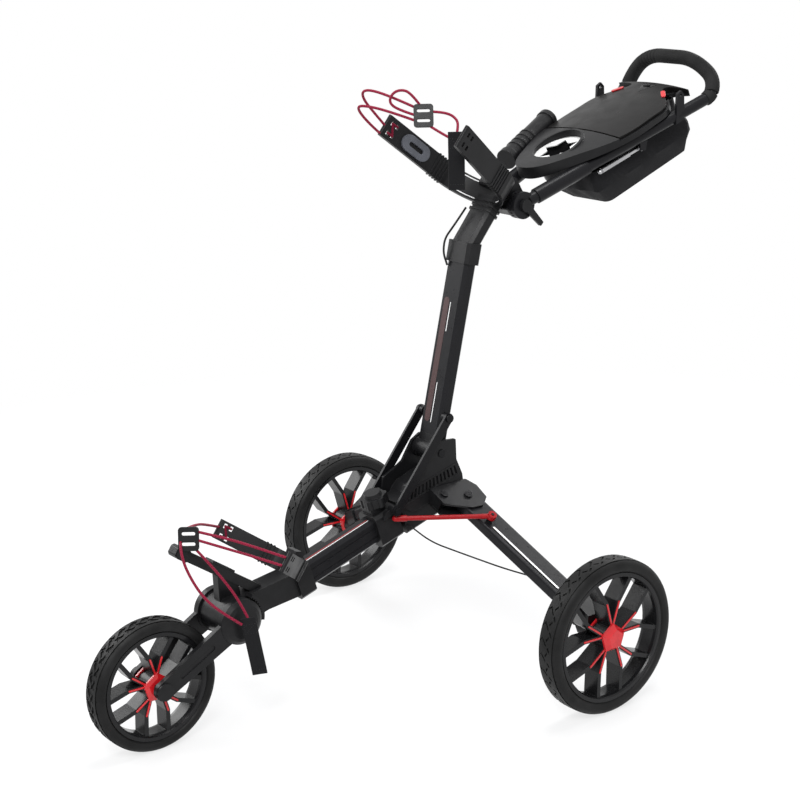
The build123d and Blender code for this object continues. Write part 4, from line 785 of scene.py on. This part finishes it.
class CartGrip(bpy.types.Operator):
    """Foam grip: a sleeve with a few ring grooves, bent round the handle's loop"""

    bl_idname = "cart.grip"
    bl_label = "Grip"

    GROOVES = 6
    FIRST_GROOVE = 0.60
    GROOVE_HALF = 0.0015
    GROOVE_FLOOR = 0.0007
    GROOVE_SHARE = 0.94
    RING_STEP = 0.006
    # Distance from each end and share of the radius there
    ENDS = [(0.0, 0.88), (0.0014, 0.97), (0.004, 1.0)]

    def execute(self, context):
        path = self.path(context)
        sleeve = self.sleeve(context, path.data.splines[0].calc_length())
        bend = sleeve.modifiers.new("bend", "CURVE")
        bend.object = path
        bend.deform_axis = "POS_X"
        apply_modifiers(sleeve)
        bpy.data.objects.remove(path)
        apply_place(sleeve)
        smooth(sleeve, 50)
        dress(sleeve, "foam_grip", finish("grip_foam"), "handle", ["grip"])
        return {"FINISHED"}

    def path(self, context):
        """The loop's line: straight runs joined by arcs."""
        run = (ARM_TIP - ARM_ROOT).normalized()
        near = [ARM_TIP + run * 0.0006, ARM_TIP + run * 0.012, LOOP_SIDE, LOOP_TOP]
        corners = near + [mirrored(point) for point in reversed(near)]
        bends = LOOP_BENDS + LOOP_BENDS[::-1]
        knots = [(corners[0], corners[0], corners[0])]
        for before, at, after, radius in zip(corners, corners[1:], corners[2:], bends):
            turn = (at - before).angle(after - at)
            back, on = (before - at).normalized(), (after - at).normalized()
            start, end = at + back * radius * tan(turn / 2), at + on * radius * tan(turn / 2)
            pull = 4 / 3 * tan(turn / 4) * radius
            knots += [(start, start, start - back * pull), (end, end - on * pull, end)]
        knots.append((corners[-1], corners[-1], corners[-1]))
        line = bpy.data.curves.new("grip_line", "CURVE")
        line.dimensions = "3D"
        line.resolution_u = 16
        spline = line.splines.new("BEZIER")
        spline.bezier_points.add(len(knots) - 1)
        for point, (place, left, right) in zip(spline.bezier_points, knots):
            point.handle_left_type = point.handle_right_type = "FREE"
            point.co, point.handle_left, point.handle_right = placed(place), placed(left), placed(right)
        path = bpy.data.objects.new("grip_line", line)
        context.scene.collection.objects.link(path)
        return path

    def stations(self, length):
        """(along, share of the radius) of each ring of the sleeve."""
        pitch = sizes().grip_pitch
        grooves = [length * self.FIRST_GROOVE + index * pitch for index in range(self.GROOVES)]
        rings = self.ENDS + [(length - inset, share) for inset, share in self.ENDS]
        for groove in grooves:
            for side in (-1, 1):
                rings.append((groove + side * self.GROOVE_HALF, 1.0))
                rings.append((groove + side * self.GROOVE_FLOOR, self.GROOVE_SHARE))
        steps = round(length / self.RING_STEP)
        for index in range(2, steps - 1):
            along = length * index / steps
            if min(abs(along - groove) for groove in grooves) > 2 * self.GROOVE_HALF:
                rings.append((along, 1.0))
        return sorted(rings)

    def sleeve(self, context, length):
        radius = sizes().grip_radius
        rings = self.stations(length)
        deselect()
        bpy.ops.mesh.primitive_circle_add(vertices=36, radius=radius * rings[0][1], fill_type="NGON",
                                          rotation=(0, pi / 2, 0))
        sleeve = context.object
        apply_place(sleeve)
        edit(sleeve)
        bpy.ops.mesh.select_all(action="SELECT")
        for (x, was), (along, share) in zip(rings, rings[1:]):
            bpy.ops.mesh.extrude_region_move(TRANSFORM_OT_translate={"value": (along - x, 0, 0)})
            bpy.ops.transform.resize(value=(1, share / was, share / was), center_override=(along, 0, 0))
        outward()
        return sleeve


class CartPulls(bpy.types.Operator):
    """Webbing pulls that hang from the bungees, with a box of stitches and a hem"""

    bl_idname = "cart.pulls"
    bl_label = "Webbing pulls"

    CUTS_ALONG = 27
    CUTS_ACROSS = 7
    SWAY = 0.0016
    SWAY_TURN = 5.2
    SETBACK = 0.0008
    STITCH_LENGTH = 0.0026
    STITCH_WIDTH = 0.0009
    STITCH_PROUD = 0.0007
    STITCH_PITCH = 0.0036
    STITCH_MARGIN = 0.004
    BOX_TOP = 0.012
    BOX_FOOT = 0.030
    HEM = 0.010

    def execute(self, context):
        for name, body, pull, bungee in (("upper", "mast", UPPER_PULL, "upper_bungee_near_a"),
                                         ("lower", "frame", LOWER_PULL, "lower_bungee_loop_a")):
            length = (pull.foot - pull.top).length
            strap = self.strap(context, pull, length)
            dress(strap, name + "_webbing_pull", finish("webbing"), body, [name + "_pull_tab"])
            stitches = self.stitches(context, pull, length)
            dress(stitches, name + "_pull_stitching", finish("thread"), body)
        return {"FINISHED"}

    def hang(self, pull):
        """Frame of a pull: X across it, Y down it and Z out of its face."""
        down = (pull.foot - pull.top).normalized()
        out = (PULL_FACING - down * PULL_FACING.dot(down)).normalized()
        return turned_to(out.cross(down), down, out, placed(pull.top))

    def sway(self, share, spread):
        """How far the strap stands out at a share of the way down."""
        return self.SWAY * sin(share * self.SWAY_TURN) * spread - self.SETBACK * share

    def strap(self, context, pull, length):
        deselect()
        bpy.ops.mesh.primitive_plane_add(size=1, location=(0, length / 2, 0))
        strap = context.object
        strap.scale = (pull.width, length, 1)
        apply_place(strap)
        edit(strap, "EDGE")
        for axis, cuts in ((1, self.CUTS_ALONG), (0, self.CUTS_ACROSS)):
            pick(strap, "edges", lambda e: abs(e.verts[0].co[axis] - e.verts[1].co[axis]) > 0.01)
            bpy.ops.mesh.subdivide(number_cuts=cuts)
        bpy.ops.mesh.select_all(action="SELECT")
        bpy.ops.uv.cube_project(cube_size=0.05)
        leave()
        for vertex in strap.data.vertices:
            vertex.co.z += self.sway(vertex.co.y / length, 1 - 0.4 * abs(vertex.co.x) / pull.width)
        wall(strap, sizes().webbing)
        edge = strap.modifiers.new("edge", "BEVEL")
        edge.width = sizes().webbing * 0.3
        edge.segments = 2
        apply_modifiers(strap)
        put(strap, self.hang(pull))
        smooth(strap, 40)
        return strap

    def stitches(self, context, pull, length):
        """A crossed box of stitches near the top and a row at the hem."""
        half = pull.width / 2 - self.STITCH_MARGIN
        top, foot, hem = self.BOX_TOP, self.BOX_FOOT, length - self.HEM
        rows = [((-half, top), (half, top)), ((-half, foot), (half, foot)), ((-half, top), (-half, foot)),
                ((half, top), (half, foot)), ((-half, top), (half, foot)), ((-half, foot), (half, top)),
                ((-half, hem), (half, hem))]
        made = [self.row_of_stitches(context, Vector(start), Vector(end), length) for start, end in rows]
        stitches = join(made)
        put(stitches, self.hang(pull))
        smooth(stitches, 60)
        return stitches

    def row_of_stitches(self, context, start, end, length):
        run = end - start
        count = max(3, round(run.length / self.STITCH_PITCH))
        deselect()
        bpy.ops.mesh.primitive_uv_sphere_add(segments=8, ring_count=5, radius=0.5)
        stitch = context.object
        stitch.scale = (self.STITCH_LENGTH, self.STITCH_WIDTH, sizes().webbing + 2 * self.STITCH_PROUD)
        apply_place(stitch)
        copies = stitch.modifiers.new("row", "ARRAY")
        copies.use_relative_offset = False
        copies.use_constant_offset = True
        copies.constant_offset_displace = (run.length / (count - 1), 0, 0)
        copies.count = count
        apply_modifiers(stitch)
        stitch.rotation_euler.z = atan2(run.y, run.x)
        stitch.location = (start.x, start.y, self.sway(start.y / length, 0.85))
        apply_place(stitch)
        return stitch


class CartPouch(bpy.types.Operator):
    """Woven pouch with slack folds, hung under the console"""

    bl_idname = "cart.pouch"
    bl_label = "Pouch"

    # Each level of the walls, from the mouth down, measured on the console's deck
    Level = namedtuple("Level", "half front rear up")
    LEVELS = [Level(0.0675, 0.095, 0.369, -0.0485), Level(0.0700, 0.094, 0.371, -0.068),
              Level(0.0715, 0.093, 0.371, -0.088), Level(0.0655, 0.105, 0.365, -0.107),
              Level(0.0570, 0.123, 0.355, -0.1255)]
    AROUND = 96
    FLOOR_SPAN = 18
    CORNER = 0.014
    FACETS = 11
    FOLD = 0.0042
    FOLD_SHIFT = 0.30
    SAG = 0.0006
    CLOTH = 0.0016
    # The cloth laid flat: a base with four wall flaps, and no cloth at the corners
    CUT = (0.296, 0.414)
    CUT_AREA = 0.088

    def execute(self, context):
        pouch = self.shell(context)
        wall(pouch, self.CLOTH, offset=-1)
        apply_modifiers(pouch)
        smooth(pouch, 16)
        dress(pouch, "hanging_pouch", finish("pouch_cloth"), "handle", ["pouch"])
        return {"FINISHED"}

    def outline(self, level, share):
        """Point of a rounded rectangle at a share of the way round, from the middle of its left side."""
        half, long = level.half, (level.rear - level.front) / 2
        side, part = divmod((share + 0.125) * 4, 1)
        run = 2 * part - 1
        sides = [(half, run * long), (-run * half, long), (-half, -run * long), (run * half, -long)]
        x, y = sides[int(side) % 4]
        corner = Vector((max(abs(x) - half + self.CORNER, 0), max(abs(y) - long + self.CORNER, 0)))
        if corner.x and corner.y and corner.length > self.CORNER:
            inward = corner * (1 - self.CORNER / corner.length)
            x -= inward.x * (1 if x > 0 else -1)
            y -= inward.y * (1 if y > 0 else -1)
        return x, y

    def shell(self, context):
        """A tube of rings with a filled floor, each vertex then moved to its level's outline."""
        deselect()
        bpy.ops.mesh.primitive_circle_add(vertices=self.AROUND, radius=1)
        pouch = context.object
        edit(pouch, "EDGE")
        bpy.ops.mesh.select_all(action="SELECT")
        for _ in self.LEVELS[1:]:
            bpy.ops.mesh.extrude_edges_move(TRANSFORM_OT_translate={"value": (0, 0, -1)})
        bpy.ops.mesh.fill_grid(span=self.FLOOR_SPAN)
        outward()
        for vertex in pouch.data.vertices:
            level = self.LEVELS[round(-vertex.co.z)]
            share = (atan2(vertex.co.y, vertex.co.x) / (2 * pi)) % 1.0
            x, y = self.outline(level, share)
            up = level.up
            if level is self.LEVELS[-1]:
                reach = min(1.0, vertex.co.xy.length)
                x, y = x * reach, y * reach
                up -= self.SAG * (1 - reach)
            else:
                fold = 1 - 2 * abs((share * self.FACETS + self.FOLD_SHIFT * vertex.co.z) % 1.0 - 0.5)
                x *= 1 - self.FOLD / level.half * fold
                y += self.FOLD * fold * (1 if y < 0 else -1)
            vertex.co = deck_point(x, (level.front + level.rear) / 2 + y, up)
        return pouch


def cradle_axes(cradle):
    """Frame of a cradle: X to the right, Y towards the front and Z along what lies in it."""
    c, s = cos(cradle.tilt), sin(cradle.tilt)
    return turned_to((-1, 0, 0), (0, -c, s), (0, s, c), placed((0, *cradle.seat)))


class CartTrim(bpy.types.Operator):
    """Plain border line in the upper cradle, laces through the wing tips and the lid's latch"""

    bl_idname = "cart.trim"
    bl_label = "Trim"

    BORDER_ANGLE = radians(50)
    BORDER_WIDTH = 0.0018
    BORDER_MARGIN = 0.004
    INK = 0.0003
    INK_PROUD = 0.0002
    # Radius of a lace, and its slots' places: back from the wing's tip and up from its middle
    LACE = 0.0023
    SLOT_BACK, SLOT_FORE, SLOT_UP = 0.021, 0.009, 0.010
    LATCH_RADIUS = 0.023
    LATCH_PLATE = 0.0012
    LATCH_BAR = (0.017, 0.005, 0.0030)
    LATCH_BAR_AT = (0, 0.004, 0.0018)

    def execute(self, context):
        border = self.border(context)
        dress(border, "upper_cradle_border", finish("white_line"), "mast")
        for name, body, cradle in (("upper", "mast", UPPER_CRADLE), ("lower", "frame", LOWER_CRADLE)):
            laces = self.laces(context, cradle)
            dress(laces, name + "_wing_laces", finish("lace"), body)
        # The latch's darker finish is painted shade of the lid's latch recess
        dress(self.latch(context), "lid_latch", finish("latch_plastic"), "lid")
        return {"FINISHED"}

    def latch(self, context):
        """Three-cornered plate with a finger bar, at the lid's rear, coloured darker than the lid as
        painted shade of the latch recess.
        """
        deselect()
        bpy.ops.mesh.primitive_cylinder_add(vertices=3, radius=self.LATCH_RADIUS, depth=self.LATCH_PLATE,
                                            rotation=(0, 0, pi))
        plate = context.object
        bpy.ops.mesh.primitive_cube_add(size=1, location=self.LATCH_BAR_AT)
        bar = context.object
        bar.scale = self.LATCH_BAR
        for piece, width in ((plate, 0.0005), (bar, 0.0009)):
            apply_place(piece)
            edges = piece.modifiers.new("edges", "BEVEL")
            edges.width = width
            edges.segments = 3
            apply_modifiers(piece)
        latch = join([plate, bar])
        tilt = Matrix.Rotation(DECK_TILT, 4, "X")
        put(latch, Matrix.Translation(deck_point(0, LATCH_ALONG, LATCH_UP)) @ tilt)
        smooth(latch, 40)
        return latch

    def border(self, context):
        """A frame of lines, rolled onto the inner face of the cradle's back."""
        bow = UPPER_CRADLE.bow - self.INK_PROUD
        height = UPPER_CRADLE.height - 2 * self.BORDER_MARGIN
        deselect()
        bpy.ops.mesh.primitive_grid_add(x_subdivisions=36, y_subdivisions=2, size=1)
        border = context.object
        border.scale = (2 * self.BORDER_ANGLE * bow, height, 1)
        apply_place(border)
        edit(border)
        bpy.ops.mesh.select_all(action="SELECT")
        bpy.ops.mesh.inset(thickness=self.BORDER_WIDTH, use_boundary=True)
        bpy.ops.mesh.delete(type="FACE")
        leave()
        for vertex in border.data.vertices:
            turn, up = vertex.co.x / bow, vertex.co.y
            vertex.co = (bow * sin(turn), UPPER_CRADLE.bow - bow * cos(turn), up)
        wall(border, self.INK)
        apply_modifiers(border)
        put(border, cradle_axes(UPPER_CRADLE))
        return border

    def laces(self, context, cradle):
        """Three short runs of cord on the inner face of each wing, between its four slots."""
        middle = cradle.bow + CRADLE_WALL / 2
        root = Vector((middle * sin(cradle.half_angle), cradle.bow - middle * cos(cradle.half_angle), 0))
        tip = Vector((*cradle.tip, 0))
        run = (tip - root).normalized()
        inward = Vector((-run.y, run.x, 0)) * (CRADLE_WALL / 2)
        made = []
        for side in (-1, 1):
            for up_back, up_fore in ((-1, -1), (1, 1), (-1, 1)):
                ends = [tip - run * back + inward + Vector((0, 0, up * self.SLOT_UP))
                        for back, up in ((self.SLOT_BACK, up_back), (self.SLOT_FORE, up_fore))]
                made.append(self.run_of_cord(context, *(Vector((side * e.x, e.y, e.z)) for e in ends)))
        laces = join(made)
        put(laces, cradle_axes(cradle))
        smooth(laces, 60)
        return laces

    def run_of_cord(self, context, start, end):
        run = end - start
        deselect()
        bpy.ops.mesh.primitive_cylinder_add(vertices=14, radius=self.LACE, depth=run.length + 2 * self.LACE,
                                            location=(start + end) / 2,
                                            rotation=run.to_track_quat("Z", "Y").to_euler())
        lace = context.object
        ends = lace.modifiers.new("ends", "BEVEL")
        ends.width = self.LACE * 0.9
        ends.segments = 4
        ends.limit_method = "ANGLE"
        ends.angle_limit = radians(60)
        apply_modifiers(lace)
        apply_place(lace)
        return lace


class CartLines(bpy.types.Operator):
    """Plain pinstripes along the tube, the mast and the legs"""

    bl_idname = "cart.lines"
    bl_label = "Pinstripes"

    THICK = 0.00018
    # Where each stripe starts and ends along its tube
    TUBE_RUN = (0.034, 0.186)
    MAST_LOW = (0.052, 0.130)
    MAST_HIGH = (0.228, 0.284)
    MAST_BAND = (0.052, 0.292)
    LEG_RUN = (0.085, 0.262)
    # Places across the tube and widths
    TUBE_WHITE, TUBE_RED = (0.0075, 0.0018), (0.0035, 0.0030)
    MAST_WHITE, MAST_MAROON = (0.0030, 0.0018), (-0.0090, 0.0150)
    LEG_WHITE = (-0.0135, 0.0046)

    def execute(self, context):
        tube, mast, left, right = self.faces()
        for name, body, ink, face, run, (across, width) in (
                ("tube_line_white", "frame", "white_line", tube, self.TUBE_RUN, self.TUBE_WHITE),
                ("tube_line_red", "frame", "red_line", tube, self.TUBE_RUN, self.TUBE_RED),
                ("mast_line_low", "mast", "white_line", mast, self.MAST_LOW, self.MAST_WHITE),
                ("mast_line_high", "mast", "white_line", mast, self.MAST_HIGH, self.MAST_WHITE),
                ("mast_band", "mast", "maroon_band", mast, self.MAST_BAND, self.MAST_MAROON),
                ("leg_line_left", "leg_left", "white_line", left, self.LEG_RUN, self.LEG_WHITE),
                ("leg_line_right", "leg_right", "white_line", right, self.LEG_RUN, self.LEG_WHITE)):
            stripe = self.stripe(context, face, run, across, width)
            dress(stripe, name, finish(ink), body)
        return {"FINISHED"}

    def faces(self):
        """Frames of the striped faces: lower tube, mast, left leg and right leg."""
        x_axis, z_axis = Vector((1, 0, 0)), Vector((0, 0, 1))
        slope = Vector((cos(LEG_SLOPE), 0, -sin(LEG_SLOPE)))
        left = slope * cos(LEG_SWEEP) + Vector((0, 1, 0)) * sin(LEG_SWEEP)
        right = mirrored(left)
        return (self.face(TUBE_AT, Vector((0, cos(TUBE_TILT), sin(TUBE_TILT))), x_axis, TUBE_TOP),
                self.face(MAST_AT, Vector((0, sin(MAST_LEAN), cos(MAST_LEAN))), x_axis, MAST_FRONT),
                self.face(LEG_PIVOT, left, z_axis.cross(left), LEG_TOP),
                self.face(mirrored(LEG_PIVOT), right, right.cross(z_axis), LEG_TOP))

    def face(self, at, run, across, height):
        """Frame of a striped face: X along the tube, Y across it and Z out of the face, which points up or
        to the front."""
        across = (across - run * across.dot(run)).normalized()
        out = run.cross(across)
        if out.z < 0 or (abs(out.z) < 0.5 and out.y > 0):
            out = -out
        return turned_to(run, across, out, placed(at) + out * (height + self.THICK))

    def stripe(self, context, face, run, across, width):
        start, end = run
        deselect()
        bpy.ops.mesh.primitive_cube_add(size=1, location=((start + end) / 2, across, 0))
        stripe = context.object
        stripe.scale = (end - start, width, self.THICK)
        apply_place(stripe)
        edit(stripe, "EDGE")
        pick(stripe, "edges", lambda e: abs(e.verts[0].co.z - e.verts[1].co.z) > self.THICK / 2)
        bpy.ops.mesh.bevel(offset=width * 0.45, segments=4, affect="EDGES")
        leave()
        put(stripe, face)
        edit(stripe)
        outward()
        return stripe


class CartPanel(bpy.types.Panel):
    """Lists the cart's pieces"""

    bl_idname = "VIEW3D_PT_cart"
    bl_label = "Push cart"
    bl_space_type = "VIEW_3D"
    bl_region_type = "UI"
    bl_category = "Cart"

    def draw(self, context):
        for operator in PIECES:
            self.layout.operator(operator.bl_idname)
        for group in (context.scene.cart_colours, context.scene.cart_sizes):
            box = self.layout.box()
            for name in group.__annotations__:
                box.prop(group, name)


PIECES = (CartStage, CartBungees, CartFinishes, CartTyres, CartGrip, CartPulls, CartPouch, CartTrim,
          CartLines)
CLASSES = (CartColours, CartSizes, *PIECES, CartPanel)


def register():
    for cls in CLASSES:
        bpy.utils.register_class(cls)
    bpy.types.Scene.cart_colours = PointerProperty(type=CartColours)
    bpy.types.Scene.cart_sizes = PointerProperty(type=CartSizes)


def unregister():
    del bpy.types.Scene.cart_sizes
    del bpy.types.Scene.cart_colours
    for cls in reversed(CLASSES):
        bpy.utils.unregister_class(cls)


def main():
    register()
    bpy.ops.cart.stage()
    bpy.ops.cart.bungees()
    bpy.ops.cart.finishes()
    bpy.ops.cart.tyres()
    bpy.ops.cart.grip()
    bpy.ops.cart.pulls()
    bpy.ops.cart.pouch()
    bpy.ops.cart.trim()
    bpy.ops.cart.lines()
    deselect()


if __name__ == "__main__":
    main()
